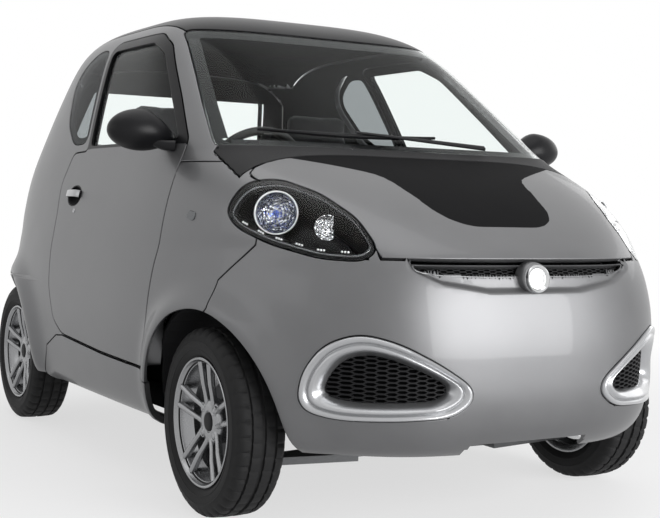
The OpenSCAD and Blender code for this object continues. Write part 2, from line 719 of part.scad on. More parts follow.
module tailgate_rear() intersection() {
    children();
    box_from([-reach, -car_width, 0], [-0.30 * half_length, car_width, 2 * car_height]);
}
module sill_cover() paint() as_mesh() difference() {
    intersection() {
        shell(skirt_wall);
        sill_space();
        box_from([-reach, -car_width, 0], [reach, -0.78 * half_width, car_height]);
    }
    door_space(door_gap);
    arch_space(front_axle_x);
    arch_space(rear_axle_x);
}
module roof_panel() black_trim() {
    as_mesh() {
        difference() {
            intersection() { shell(roof_wall); roof_space(); }
            windscreen_front() windscreen_space(seam);
            tailgate_space(tailgate_gap);
            both_sides() door_space(door_gap);
            at_tailgate_hinges() lid_arm_pocket();
        }
        intersection() { skin(roof_wall / 2); at_tailgate_hinges() lug_plates(); }
    }
    at_tailgate_hinges() lid_pin();
}

// Rear panels.
module tailgate() paint() {
    as_mesh() {
        difference() {
            intersection() { shell(tailgate_wall); tailgate_space(); }
            from_rear() rear_glass_outline();
        }
        intersection() {
            skin(tailgate_wall / 2);
            at_tailgate_hinges() rotate([0, tailgate_arm_turn, 180])
                lid_arm_neck(tailgate_arm_dip, tailgate_arm_length, tailgate_arm_sweep);
        }
    }
    at_tailgate_hinges() lid_arm_eye();
}
module rear_glass() dark_glass() as_mesh() intersection() {
    shell(glass_wall, glass_inset / 3);
    tailgate_rear() from_rear() grown(-fit) rear_glass_outline();
}
module rear_bumper() paint() as_mesh() difference() {
    intersection() { shell(sheet_wall); rear_bumper_space(); }
    box_from([-reach, -car_width, 0], [reach, car_width, bumper_clearance]);
    tailgate_space(tailgate_gap);
    arch_space(rear_axle_x);
}
module tail_lamp() color("#7c1d1d") as_mesh() intersection() {
    shell(tail_lamp_depth);
    tailgate_rear() tail_lamp_space();
}

// Floor with its wheel tubs, bulkhead, load deck and hinge posts.
module underbody() black_trim() {
    as_mesh() difference() {
        intersection() {
            skin(side_wall + fit);
            box_from([-reach, -car_width, floor_z], [reach, car_width, car_height]);
            union() {
                box_from([deck_front - deck_wall, -car_width, 0], [0.86 * half_length, car_width, floor_top]);
                box_from([firewall_x, -car_width, 0], [firewall_x + firewall_wall, car_width, firewall_top]);
                box_from([-0.97 * half_length, -car_width, deck_z], [deck_front, car_width, deck_z + deck_wall]);
                box_from([deck_front - deck_wall, -car_width, 0], [deck_front, car_width, deck_z + deck_wall / 2]);
                box_from([-0.90 * half_length, -load_floor_half, deck_z],
                    [deck_front - 2 * deck_wall, load_floor_half, deck_z + deck_wall + load_floor_rise]);
                both_sides() {
                    box_from([post_x, -post_y - post_width, 0], [post_x + post_depth, -post_y, post_top]);
                    tub(front_axle_x, front_tub_y, tub_wall);
                    tub(rear_axle_x, rear_tub_y, tub_wall);
                }
            }
        }
        both_sides() {
            tub(front_axle_x, front_tub_y + tub_wall, 0);
            tub(rear_axle_x, rear_tub_y + tub_wall, 0);
            box_from([rear_axle_x - axle_slot, -car_width, 0],
                [rear_axle_x + axle_slot, -rear_tub_y / 2, axle_z + axle_slot]);
            kingpin_place() cylinder(r = bearing_radius - 1, h = reach, $fn = 40);
        }
    }
    both_sides() kingpin_place() difference() {
        translate([0, 0, bearing_low]) cylinder(r = bearing_radius, h = bearing_high - bearing_low, $fn = 48);
        cylinder(r = rod_radius + run_clearance, h = reach, $fn = 40);
    }
    both_sides() at_door_hinges() door_hinge_bracket();
    both_sides() translate([jack_pad_x, -jack_pad_y, floor_z - jack_pad_height])
        cylinder(r = jack_pad_radius, h = jack_pad_height + floor_wall / 2, $fn = 48);
}
module tub(axle_x, inner_y, grow) translate([axle_x, -inner_y, axle_z]) rotate([90, 0, 0])
    cylinder(r = tub_radius + grow, h = car_width, $fn = 40);

module battery_pack() color("#4b4f55") box_from([-0.30 * half_length, -0.62 * half_width, floor_top + fit],
    [0.10 * half_length, 0.62 * half_width, battery_top]);

// Steering axis of the right front wheel, from its lower ball joint up to the tub.
module kingpin_place() translate([front_axle_x, -kingpin_low_y, kingpin_low_z]) rotate([-kingpin_lean, 0, 0])
    children();
module at_lugs() for (i = [0:lug_count - 1]) rotate((i + 0.5) * 360 / lug_count)
    translate([lug_circle / 2, 0, 0]) children();
module hub_stub(inner) translate([0, -wheel_y, axle_z]) rotate([90, 0, 0]) {
    translate([0, 0, hub_face - fit - flange_wall]) difference() {
        cylinder(r = flange_radius, h = flange_wall, $fn = 60);
        translate([0, 0, -1]) at_lugs() cylinder(d = lug_bore + flange_play, h = flange_wall + 2, $fn = 32);
    }
    cylinder(d = hub_bore - 2 * run_clearance, h = hub_face + spigot_length, $fn = 60);
    translate([0, 0, -inner]) cylinder(r = carrier_radius, h = inner, $fn = 48);
}
module knuckle_arm() steel() {
    kingpin_place() {
        translate([0, 0, -ball_length]) cylinder(r = ball_radius, h = ball_length, $fn = 40);
        cylinder(r = upright_radius, h = upright_length, $fn = 48);
        translate([0, 0, upright_length]) cylinder(r = strut_radius, h = strut_length - upright_length, $fn = 48);
        cylinder(r = rod_radius, h = rod_length, $fn = 40);
        translate([-tie_arm, -tie_wall / 2, 2 * tie_wall]) cube([tie_arm, tie_wall, tie_wall]);
    }
    translate([front_axle_x, 0, 0]) {
        hub_stub(wheel_y - kingpin_low_y + 1.2 * upright_radius);
        translate([0, -wheel_y, axle_z]) rotate([90, 0, 0]) translate([0, 0, -disc_wall - flange_wall])
            cylinder(r = brake_radius, h = disc_wall, $fn = 72);
    }
}
module front_axle() steel() {
    box_from([front_axle_x - beam_width / 2, -arm_inner_y - beam_overlap, beam_z],
        [front_axle_x + beam_width / 2, arm_inner_y + beam_overlap, floor_z - fit]);
    both_sides() difference() {
        translate([0, 0, kingpin_low_z - arm_wall - arm_drop]) linear_extrude(arm_wall) polygon([
            [front_axle_x - arm_base / 2, -arm_inner_y], [front_axle_x + arm_base / 2, -arm_inner_y],
            [front_axle_x + eye_radius, -kingpin_low_y], [front_axle_x + eye_radius / 2, -kingpin_low_y - eye_radius],
            [front_axle_x - eye_radius / 2, -kingpin_low_y - eye_radius], [front_axle_x - eye_radius, -kingpin_low_y]]);
        kingpin_place() cylinder(r = ball_radius + run_clearance, h = 4 * arm_wall, center = true, $fn = 40);
    }
}
module rear_axle() steel() {
    translate([rear_axle_x, 0, axle_z]) rotate([90, 0, 0]) {
        cylinder(r = axle_tube_radius, h = 2 * (wheel_y - drum_wall), center = true, $fn = 60);
        cylinder(r = motor_radius, h = motor_length, center = true, $fn = 72);
    }
    both_sides() translate([rear_axle_x, 0, 0]) {
        hub_stub(drum_wall);
        translate([0, -wheel_y, axle_z]) rotate([90, 0, 0]) translate([0, 0, -drum_wall])
            cylinder(r = brake_radius, h = drum_wall - flange_wall, $fn = 72);
        translate([0, -link_y, 0]) {
            box_from([0, -link_width / 2, axle_z - link_width / 2],
                [deck_front - deck_wall - rear_axle_x - fit, link_width / 2, axle_z + link_width / 2]);
            translate([0, 0, axle_z]) cylinder(r = spring_radius, h = deck_z - axle_z - fit, $fn = 48);
        }
    }
}

// Wheels and tyres, drawn around Z with the outer face up.
module at_wheel(axle_x) translate([axle_x, -wheel_y, axle_z]) rotate([90, 0, 0]) children();
module rim_profile() {
    flange = rim_diameter / 2;
    half = rim_width / 2;
    seat = flange - 16;
    well = seat - 16;
    wall = 7;
    polygon([[flange, half], [flange, half - 7], [seat, half - 11], [seat, half - 28], [well, half - 44],
        [well, 40 - half], [seat, 26 - half], [seat, 11 - half], [flange, 7 - half], [flange, -half],
        [flange - wall, -half], [seat - wall, 9 - half], [seat - wall, 28 - half], [well - wall, 42 - half],
        [well - wall, half - 46], [seat - wall, half - 30], [seat - wall, half - 8], [flange - wall, half]]);
}
module dish_profile() {
    rim = rim_diameter / 2 - 22;
    half = rim_width / 2;
    polygon([[lug_circle / 4, hub_face + 2], [lug_circle / 4, 40], [lug_circle * 0.6, 43], [lug_circle * 1.1, 56],
        [rim, half - 8], [rim, half - 26], [lug_circle * 1.1, 36], [lug_circle * 0.6, 18]]);
}
module spokes() for (i = [0:spoke_pairs - 1], side = [-1, 1]) rotate(i * 360 / spoke_pairs) {
    root = lug_circle * 0.5;
    tip = rim_diameter / 2 - 20;
    polygon([[root, side * spoke_width * 0.5], [root, side * spoke_width * 1.6],
        [0.6 * tip, side * spoke_width * 1.75], [tip, side * spoke_width * 2.5],
        [tip, side * spoke_width * 1.4], [0.6 * tip, side * spoke_width * 0.8]]);
}
module wheel() color("#aeb1b5") {
    rotate_extrude($fn = 96) rim_profile();
    difference() {
        union() {
            intersection() {
                rotate_extrude($fn = 96) dish_profile();
                linear_extrude(rim_width) spokes();
            }
            translate([0, 0, hub_face]) cylinder(r = lug_circle * 0.65, h = 31, $fn = 72);
        }
        translate([0, 0, hub_face - overrun]) cylinder(d = hub_bore, h = overrun + spigot_length + 4, $fn = 60);
        at_lugs() {
            cylinder(d = lug_bore, h = rim_width, $fn = 32);
            translate([0, 0, hub_face + 16]) cylinder(d = 1.7 * lug_bore, h = rim_width, $fn = 32);
        }
    }
}
module tyre() color("#141414") {
    top = tyre_diameter / 2;
    half = tyre_width / 2;
    bead = rim_diameter / 2 - 15.6;
    rim = rim_diameter / 2 + 1;
    heel = rim_width / 2 - 11.6;
    carcass = 9;
    right_half = [[bead, heel - 15], [bead, heel], [rim, heel + 2], [rim + 12, half - 4], [rim + 34, half],
        [top - 30, half - 3], [top - 12, half - 10], [top - 3, half - 20], [top - 1, half - 30],
        [top - tread_depth, half - 32], [top - tread_depth, half - 40], [top - 0.5, half - 42],
        [top, 6], [top - tread_depth, 4]];
    inner_half = [[top - tread_depth - carcass, half - 36], [top - 28, half - 14], [rim + 34, half - carcass],
        [rim + 8, half - carcass - 8]];
    n = len(right_half);
    m = len(inner_half);
    rotate_extrude($fn = 96) polygon(concat(right_half,
        [for (i = [1:n]) [right_half[n - i][0], -right_half[n - i][1]]],
        [for (i = [1:m]) [inner_half[m - i][0], -inner_half[m - i][1]]], inner_half));
}

// Mirrors on the doors.
module mirror_housing() black_trim() as_mesh() difference() {
    union() {
        translate([0.275 * half_length, -0.985 * half_width, 0.703 * car_height])
            scale([mirror_length, mirror_width, mirror_height] / mirror_height) sphere(d = mirror_height, $fn = 14);
        hull() {
            translate([0.29 * half_length, -0.93 * half_width, 0.690 * car_height]) sphere(r = mirror_foot, $fn = 8);
            translate([0.30 * half_length, -0.885 * half_width, 0.672 * car_height]) sphere(r = mirror_foot, $fn = 8);
        }
    }
    skin(-fit);
}

// Cabin.
dashboard_shares = [
    [0.4421, 0.45], [0.4421, 0.612], [0.340, 0.640], [0.275, 0.625], [0.250, 0.585], [0.290, 0.50], [0.350, 0.43]
];
module dashboard() black_trim() as_mesh() difference() {
    intersection() {
        skin(1.5 * door_wall);
        rotate([90, 0, 0]) linear_extrude(1.44 * half_width, center = true) polygon(side_points(dashboard_shares));
    }
    column_place() cylinder(r = column_radius + 1, h = reach, center = true, $fn = 32);
}
boss_depth = 30;
spoke_start = 40;
steering_spoke = 28;
column_start = 30;
column_end = 190;
module column_place() translate([0.205 * half_length, -seat_side, 0.622 * car_height])
    rotate([0, column_slope - 90, 0]) children();
module steering_wheel() black_trim() column_place() {
    ring = (steering_diameter - steering_rim) / 2;
    rotate_extrude($fn = 72) translate([ring, 0]) circle(d = steering_rim, $fn = 24);
    translate([0, 0, -boss_depth - steering_rim / 7]) cylinder(r = steering_boss, h = boss_depth, $fn = 48);
    for (turn = [0, 130, 230]) rotate(turn) translate([spoke_start, -steering_spoke / 2, -0.8 * steering_spoke])
        cube([ring - spoke_start, steering_spoke, steering_spoke / 2]);
    translate([0, 0, -column_end]) cylinder(r = column_radius, h = column_end - column_start, $fn = 40);
}
seat_shares = [
    [-0.240, 0.262], [-0.240, 0.325], [-0.335, 0.680], [-0.350, 0.700], [-0.365, 0.800], [-0.335, 0.808],
    [-0.302, 0.798], [-0.292, 0.690], [-0.205, 0.385], [0.060, 0.372], [0.105, 0.392], [0.112, 0.350], [0.060, 0.262]
];
module seats() color("#2a2b2e") {
    for (side = [-1, 1]) translate([0, side * seat_side, 0]) rotate([90, 0, 0])
        linear_extrude(seat_width, center = true) polygon(side_points(seat_shares));
    box_from([-0.20 * half_length, -seat_side, battery_top + fit],
        [0.02 * half_length, seat_side, 0.264 * car_height]);
}

underbody();
battery_pack();
front_axle();
rear_axle();
knuckle_arm();  // knuckle_right
mirror([0, 1, 0]) knuckle_arm();  // knuckle_left
front_bumper();
bonnet();
wing();  // wing_right
mirror([0, 1, 0]) wing();  // wing_left
door();  // door_right
mirror([0, 1, 0]) door();  // door_left
door_glass();  // door_glass_right
mirror([0, 1, 0]) door_glass();  // door_glass_left
side_panel();  // side_panel_right
mirror([0, 1, 0]) side_panel();  // side_panel_left
quarter_glass();  // quarter_glass_right
mirror([0, 1, 0]) quarter_glass();  // quarter_glass_left
sill_cover();  // sill_cover_right
mirror([0, 1, 0]) sill_cover();  // sill_cover_left
roof_panel();
windscreen();
cowl();
tailgate();
rear_glass();
rear_bumper();
head_lamp();  // head_lamp_right
mirror([0, 1, 0]) head_lamp();  // head_lamp_left
head_lens();  // head_lens_right
mirror([0, 1, 0]) head_lens();  // head_lens_left
tail_lamp();  // tail_lamp_right
mirror([0, 1, 0]) tail_lamp();  // tail_lamp_left
lower_grille();  // lower_grille_right
mirror([0, 1, 0]) lower_grille();  // lower_grille_left
upper_grille();
badge();
mirror_housing();  // mirror_right
mirror([0, 1, 0]) mirror_housing();  // mirror_left
dashboard();
steering_wheel();
seats();
at_wheel(front_axle_x) wheel();  // wheel_front_right
mirror([0, 1, 0]) at_wheel(front_axle_x) wheel();  // wheel_front_left
at_wheel(rear_axle_x) wheel();  // wheel_rear_right
mirror([0, 1, 0]) at_wheel(rear_axle_x) wheel();  // wheel_rear_left
at_wheel(front_axle_x) tyre();  // tyre_front_right
mirror([0, 1, 0]) at_wheel(front_axle_x) tyre();  // tyre_front_left
at_wheel(rear_axle_x) tyre();  // tyre_rear_right
mirror([0, 1, 0]) at_wheel(rear_axle_x) tyre();  // tyre_rear_left
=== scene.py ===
# Two-seat city car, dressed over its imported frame: pressed panels, glass, lamps, grilles, wheels, cabin.
import json
import math

import bpy
import numpy as np
from mathutils import Matrix, Vector
from mathutils.geometry import delaunay_2d_cdt

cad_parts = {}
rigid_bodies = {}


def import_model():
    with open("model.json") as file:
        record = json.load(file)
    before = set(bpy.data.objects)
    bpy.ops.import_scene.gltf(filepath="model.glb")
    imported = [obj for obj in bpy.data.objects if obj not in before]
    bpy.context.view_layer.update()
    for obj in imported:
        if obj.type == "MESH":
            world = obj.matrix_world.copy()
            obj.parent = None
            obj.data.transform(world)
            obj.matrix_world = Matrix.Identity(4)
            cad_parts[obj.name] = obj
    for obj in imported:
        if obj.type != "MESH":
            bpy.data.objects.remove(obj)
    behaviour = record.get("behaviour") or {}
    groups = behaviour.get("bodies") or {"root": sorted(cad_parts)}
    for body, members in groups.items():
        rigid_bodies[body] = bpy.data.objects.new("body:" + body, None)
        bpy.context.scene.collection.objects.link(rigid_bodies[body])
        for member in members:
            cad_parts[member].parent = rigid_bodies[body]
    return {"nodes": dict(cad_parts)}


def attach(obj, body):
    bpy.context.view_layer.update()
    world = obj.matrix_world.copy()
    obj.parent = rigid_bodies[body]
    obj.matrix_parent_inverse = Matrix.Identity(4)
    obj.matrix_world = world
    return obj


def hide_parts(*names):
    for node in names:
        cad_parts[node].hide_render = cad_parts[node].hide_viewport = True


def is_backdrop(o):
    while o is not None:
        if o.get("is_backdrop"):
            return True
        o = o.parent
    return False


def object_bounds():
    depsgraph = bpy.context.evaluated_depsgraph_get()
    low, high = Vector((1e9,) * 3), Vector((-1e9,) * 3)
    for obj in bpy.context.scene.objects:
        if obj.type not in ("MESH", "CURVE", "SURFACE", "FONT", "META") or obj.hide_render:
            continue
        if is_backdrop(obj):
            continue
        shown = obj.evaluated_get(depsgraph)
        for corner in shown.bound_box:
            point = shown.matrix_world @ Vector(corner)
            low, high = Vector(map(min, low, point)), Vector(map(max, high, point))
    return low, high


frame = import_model()
cad_low, cad_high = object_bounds()
bpy.ops.object.select_all(action="DESELECT")

# Studio. The car stands on a pale floor that fades into a white backdrop, under soft boxes overhead,
# in front and at both sides. The camera stands off the right front corner at lamp height.
camera_place = Vector((3.993, -2.189, 0.885))
camera_yaw, camera_dip, camera_roll = 59.756, 2.496, 1.459
bpy.ops.object.camera_add(location=camera_place)
camera = bpy.context.object
turn = Matrix.Rotation(math.radians(camera_yaw), 4, "Z")
turn = turn @ Matrix.Rotation(math.radians(90 - camera_dip), 4, "X")
turn = turn @ Matrix.Rotation(math.radians(camera_roll), 4, "Z")
camera.matrix_world = Matrix.Translation(camera_place) @ turn
camera.data.sensor_width = 36
camera.data.lens = 68.86
camera.data.clip_end = 200
scene = bpy.context.scene
scene.camera = camera
scene.view_settings.view_transform = "Standard"


def soft_box(name, place, aim, size, power):
    bpy.ops.object.light_add(type="AREA", location=place)
    lamp = bpy.context.object
    lamp.name = name
    lamp.data.shape = "RECTANGLE"
    lamp.data.size, lamp.data.size_y = size
    lamp.data.energy = power
    lamp.rotation_euler = (Vector(aim) - Vector(place)).to_track_quat("-Z", "Y").to_euler()


soft_box("overhead_box", (0.6, -0.4, 4.2), (0.3, 0, 0.6), (4.5, 3.0), 45)
soft_box("front_box", (5.2, 1.6, 1.5), (1.0, 0, 0.5), (3.4, 2.6), 215)
soft_box("side_box", (-0.6, -5.5, 2.4), (0, 0, 0.7), (4.5, 1.6), 14)
soft_box("far_box", (-1.0, 5.5, 2.6), (0, 0, 0.7), (4.5, 1.8), 30)


def math_node(nodes, links, operation, *sources):
    """Output of a math node; each source is another node's output or a number."""
    node = nodes.new("ShaderNodeMath")
    node.operation = operation
    for socket, source in zip(node.inputs, sources):
        if isinstance(source, float):
            socket.default_value = source
        else:
            links.new(source, socket)
    return node.outputs[0]


def seen_rays(nodes, links):
    """Output that is 1 for rays from the camera, straight or by way of gloss or glass, otherwise 0."""
    rays = nodes.new("ShaderNodeLightPath").outputs
    through = math_node(nodes, links, "MAXIMUM", rays["Is Glossy Ray"], rays["Is Transmission Ray"])
    return math_node(nodes, links, "MAXIMUM", rays["Is Camera Ray"], through)


def set_sockets(node, **values):
    """Sets inputs of a node by their names, with _ for a space."""
    for label, value in values.items():
        node.inputs[label.replace("_", " ")].default_value = value


world = bpy.data.worlds.new("studio")
scene.world = world
world.use_nodes = True
sky_nodes, sky_links = world.node_tree.nodes, world.node_tree.links
sky_nodes.clear()
sky_out = sky_nodes.new("ShaderNodeOutputWorld")
sky_mix = sky_nodes.new("ShaderNodeMixShader")
sky_links.new(seen_rays(sky_nodes, sky_links), sky_mix.inputs[0])
for slot, strength in ((1, 0.30), (2, 1.0)):
    sky = sky_nodes.new("ShaderNodeBackground")
    set_sockets(sky, Color=(1, 1, 1, 1), Strength=strength)
    sky_links.new(sky.outputs[0], sky_mix.inputs[slot])
sky_links.new(sky_mix.outputs[0], sky_out.inputs["Surface"])

bpy.ops.mesh.primitive_plane_add(size=60, location=(0, 0, 0))
floor = bpy.context.object
floor.name = "studio_floor"
floor_paint = bpy.data.materials.new("studio_floor_paint")
floor_paint.use_nodes = True
floor_nodes, floor_links = floor_paint.node_tree.nodes, floor_paint.node_tree.links
floor_shader = floor_nodes["Principled BSDF"]
set_sockets(floor_shader, Base_Color=(0.86, 0.86, 0.87, 1), Roughness=0.75)
floor_glow = floor_nodes.new("ShaderNodeEmission")
set_sockets(floor_glow, Strength=1.0)
floor_where = floor_nodes.new("ShaderNodeTexCoord")
floor_far = floor_nodes.new("ShaderNodeVectorMath")
floor_far.operation = "LENGTH"
floor_fade = floor_nodes.new("ShaderNodeMapRange")
set_sockets(floor_fade, From_Min=1.6, From_Max=4.5, To_Min=0.66, To_Max=1.0)
floor_mix = floor_nodes.new("ShaderNodeMixShader")
floor_links.new(floor_where.outputs["Object"], floor_far.inputs[0])
floor_links.new(floor_far.outputs["Value"], floor_fade.inputs["Value"])
floor_links.new(math_node(floor_nodes, floor_links, "MULTIPLY", seen_rays(floor_nodes, floor_links),
                          floor_fade.outputs["Result"]), floor_mix.inputs[0])
floor_links.new(floor_shader.outputs[0], floor_mix.inputs[1])
floor_links.new(floor_glow.outputs[0], floor_mix.inputs[2])
floor_links.new(floor_mix.outputs[0], floor_nodes["Material Output"].inputs["Surface"])
floor.data.materials.append(floor_paint)
floor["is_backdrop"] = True

# Body skin. Every outer panel and pane is a part of one smooth skin: superellipse rings at nineteen
# heights, given as shares of the car's size, with a swell pressed out around each wheel arch.
half_length = (cad_high.x - cad_low.x) / 2
half_width = 0.770
car_height = cad_high.z
axle_height = 0.266
front_axle_x, rear_axle_x = 0.7875, -0.9775
arch_radius, arch_flare, arch_lip = 0.316, 0.034, 0.010
swell_spread, swell_fade = 0.060, 0.230
swell_top_z = 0.51 * car_height
# height, front reach, rear reach, width, widest place, front and rear squareness
level_shares = np.array([
    [0.122, 0.850, -0.868, 0.831, -0.108, 3.2, 3.5],
    [0.145, 0.948, -0.948, 0.929, -0.108, 3.4, 4.0],
    [0.193, 0.988, -0.984, 0.964, -0.108, 3.5, 4.0],
    [0.257, 0.997, -0.997, 0.983, -0.108, 3.5, 4.0],
    [0.319, 0.996, -0.999, 0.995, -0.108, 3.5, 4.0],
    [0.375, 0.990, -1.000, 1.000, -0.108, 3.5, 4.0],
    [0.437, 0.977, -0.998, 0.995, -0.108, 3.4, 4.0],
    [0.479, 0.961, -0.995, 0.983, -0.108, 3.3, 4.0],
    [0.514, 0.915, -0.992, 0.971, -0.108, 3.6, 4.1],
    [0.559, 0.835, -0.985, 0.953, -0.108, 4.1, 4.2],
    [0.611, 0.720, -0.969, 0.926, -0.108, 4.6, 4.4],
    [0.662, 0.579, -0.937, 0.899, -0.115, 4.8, 4.5],
    [0.682, 0.539, -0.922, 0.888, -0.120, 4.9, 4.5],
    [0.804, 0.344, -0.850, 0.808, -0.150, 4.7, 4.5],
    [0.910, 0.170, -0.767, 0.722, -0.200, 4.6, 4.5],
    [0.955, 0.087, -0.705, 0.643, -0.240, 4.2, 4.2],
    [0.984, -0.014, -0.600, 0.513, -0.280, 3.7, 4.0],
    [0.997, -0.145, -0.434, 0.286, -0.285, 3.0, 3.2],
    [1.000, -0.260, -0.310, 0.040, -0.285, 2.6, 2.6],
])
level_sizes = level_shares * [car_height, half_length, half_length, half_width, half_length, 1, 1]
last_level = len(level_sizes) - 1


def rounded_rows(rows, at):
    """Monotone cubic through the rows, read at fractional row numbers."""
    step = np.diff(rows, axis=0)
    slope = np.zeros_like(rows)
    same = step[:-1] * step[1:] > 0
    mean = 2 * step[:-1] * step[1:] / np.where(same, step[:-1] + step[1:], 1)
    slope[1:-1] = np.where(same, mean, 0)
    slope[0], slope[-1] = step[0], step[-1]
    low = np.clip(at.astype(int), 0, len(rows) - 2)
    t = (at - low)[:, None]
    rise = t * t * (3 - 2 * t)
    return (rows[low] * (1 - rise) + rows[low + 1] * rise
            + slope[low] * t * (1 - t) ** 2 - slope[low + 1] * t * t * (1 - t))


fine_levels = np.linspace(0, last_level, 1801)
fine_rows = rounded_rows(level_sizes, fine_levels)
blur = np.exp(-np.linspace(-2.5, 2.5, 121) ** 2 / 2)
padded_rows = np.concatenate([2 * fine_rows[:1] - fine_rows[60:0:-1], fine_rows,
                              2 * fine_rows[-1:] - fine_rows[-2:-62:-1]])
fine_rows = np.stack([np.convolve(column, blur / blur.sum(), "valid") for column in padded_rows.T], -1)


def smooth_step(low, high, value):
    t = np.clip((value - low) / (high - low), 0, 1)
    return t * t * (3 - 2 * t)


def ring_sizes(z):
    """Front reach, rear reach, width, widest place and both squarenesses of the rings at these heights."""
    level = np.interp(z, fine_rows[:, 0], fine_levels)
    return [np.interp(level, fine_levels, column) for column in fine_rows.T[1:]]


def ring_point(around, z):
    """Point of the bare skin: around is 0 at the nose, 1 at the side, 2 at the tail; left is positive."""
    front, rear, wide, middle, square_front, square_rear = ring_sizes(z)
    ahead = np.abs(around) <= 1
    square = np.where(ahead, square_front, square_rear)
    end = np.where(ahead, np.abs(around), 2 - np.abs(around))
    most = 2 ** (-1 / square)
    near = np.clip(np.where(end < 0.5, 2 * end, 2 * (1 - end)) * most, 0, 1)
    far = (1 - near ** square) ** (1 / square)
    along = np.where(end < 0.5, far, near)
    across = np.where(end < 0.5, near, far)
    x = middle + (np.where(ahead, front, rear) - middle) * along
    swell = 0
    for axle in (front_axle_x, rear_axle_x):
        ride_out = np.hypot(x - axle, z - axle_height) - arch_radius - arch_lip
        swell = swell + arch_flare * np.exp(-(ride_out / swell_spread) ** 2)
    swell = swell * np.clip((swell_top_z - z) / swell_fade, 0, 1)
    y = np.sign(around) * (wide * across + swell * smooth_step(0.5, 0.83, across))
    return np.stack([x, y, z], -1)


around_scale = 1.9


def wrap_lift(plane):
    """Plane places (around times its scale, height) to points of the skin."""
    return ring_point(plane[:, 0] / around_scale, plane[:, 1])


def top_lift(plane):
    """Plane places (x, y) to points of the skin's upper side."""
    low = np.full(len(plane), 0.40 * car_height)
    high = np.full(len(plane), car_height - 0.0005)
    for _ in range(30):
        z = (low + high) / 2
        front, rear, wide, middle, square_front, square_rear = ring_sizes(z)
        ahead = plane[:, 0] >= middle
        square = np.where(ahead, square_front, square_rear)
        along = np.abs((plane[:, 0] - middle) / (np.where(ahead, front, rear) - middle))
        under = along ** square + np.abs(plane[:, 1] / wide) ** square < 1
        low, high = np.where(under, z, low), np.where(under, high, z)
    return np.column_stack([plane, low])


def lift_normals(lift, plane, nudge=0.0015):
    """Outward normals of the skin at the plane places."""
    step_a = lift(plane + [nudge, 0]) - lift(plane - [nudge, 0])
    step_b = lift(plane + [0, nudge]) - lift(plane - [0, nudge])
    out = np.cross(step_a, step_b)
    return out / np.linalg.norm(out, axis=1)[:, None]


def view_places(view, points):
    """Points of a flat outline in a view to plane places on the wrapped skin."""
    spans = {"side": (-1.97, -0.03), "front": (-0.97, 0.97), "rear": (1.03, 1.97), "corner": (-1.0, -0.02)}
    places = []
    for a, z in points:
        around = np.linspace(*spans[view], 500)
        ring = ring_point(around, np.full(500, z))
        reads = {"side": ring[:, 0], "front": ring[:, 1], "rear": -ring[:, 1],
                 "corner": (ring[:, 0] + ring[:, 1]) / math.sqrt(2)}[view]
        if view == "rear":
            spot = math.copysign(np.interp(-abs(a), reads, around), a)
        else:
            spot = np.interp(a, reads, around)
        places.append((spot * around_scale, z))
    return np.array(places)


def finely(points, step=0.012, closed=True):
    """The outline with points added so that no stretch is longer than the step."""
    points = np.asarray(points, float)
    ends = np.roll(points, -1, 0) if closed else points[1:]
    rows = []
    for a, b in zip(points, ends):
        parts = max(1, int(np.linalg.norm(b - a) / step + 0.5))
        rows += [a + (b - a) * k / parts for k in range(parts)]
    return np.array(rows if closed else rows + [points[-1]])


def rounded_outline(points, radius):
    """The outline with each corner turned into a short curve."""
    points = np.asarray(points, float)
    rows = []
    for before, corner, after in zip(np.roll(points, 1, 0), points, np.roll(points, -1, 0)):
        start = corner + (before - corner) * min(0.45, radius / np.linalg.norm(before - corner))
        end = corner + (after - corner) * min(0.45, radius / np.linalg.norm(after - corner))
        for t in np.linspace(0, 1, 7):
            rows.append((1 - t) ** 2 * start + 2 * t * (1 - t) * corner + t * t * end)
    return np.array(rows)


def within(outline, a, b):
    """Which of the places (a, b) lie inside the outline."""
    inside = np.zeros(np.shape(a), bool)
    for (a0, b0), (a1, b1) in zip(outline, np.roll(outline, -1, 0)):
        crosses = (b0 > b) != (b1 > b)
        if b0 != b1:
            inside ^= crosses & (a < (a1 - a0) * (b - b0) / (b1 - b0) + a0)
    return inside


def cut_sheet(lift, curves, keep, low, high, spacing):
    """Triangles of the plane between low and high that follow all curves, where keep(points) is true."""
    spots, edges = [], []
    for curve, closed in curves:
        first = len(spots)
        spots += [Vector(p) for p in curve]
        edges += [(first + i, first + i + 1) for i in range(len(curve) - 1)]
        edges += [(first + len(curve) - 1, first)] if closed else []
    border = np.array([p[:] for p in spots])
    rows = np.arange(low[1] + spacing / 2, high[1], spacing * 0.87)
    for k, row in enumerate(rows):
        line = np.arange(low[0] + spacing / 2 * (k % 2), high[0], spacing)
        grid = np.column_stack([line, np.full(len(line), row)])
        near = np.linalg.norm(grid[:, None] - border[None], axis=2).min(1)
        spots += [Vector(p) for p in grid[near > 0.55 * spacing]]
    spots += [Vector(c) for c in ((low[0], low[1]), (high[0], low[1]), high, (low[0], high[1]))]
    places, _, faces, _, _, _ = delaunay_2d_cdt(spots, edges, [], 0, 1e-6)
    places = np.array([p[:] for p in places])
    faces = np.array([f for f in faces if len(f) == 3])
    middles = places[faces].mean(1)
    inside = ((middles > low) & (middles < high)).all(1)
    faces, middles = faces[inside], middles[inside]
    faces = faces[keep(lift(middles))]
    used, faces = np.unique(faces, return_inverse=True)
    return places[used], faces.reshape(-1, 3)


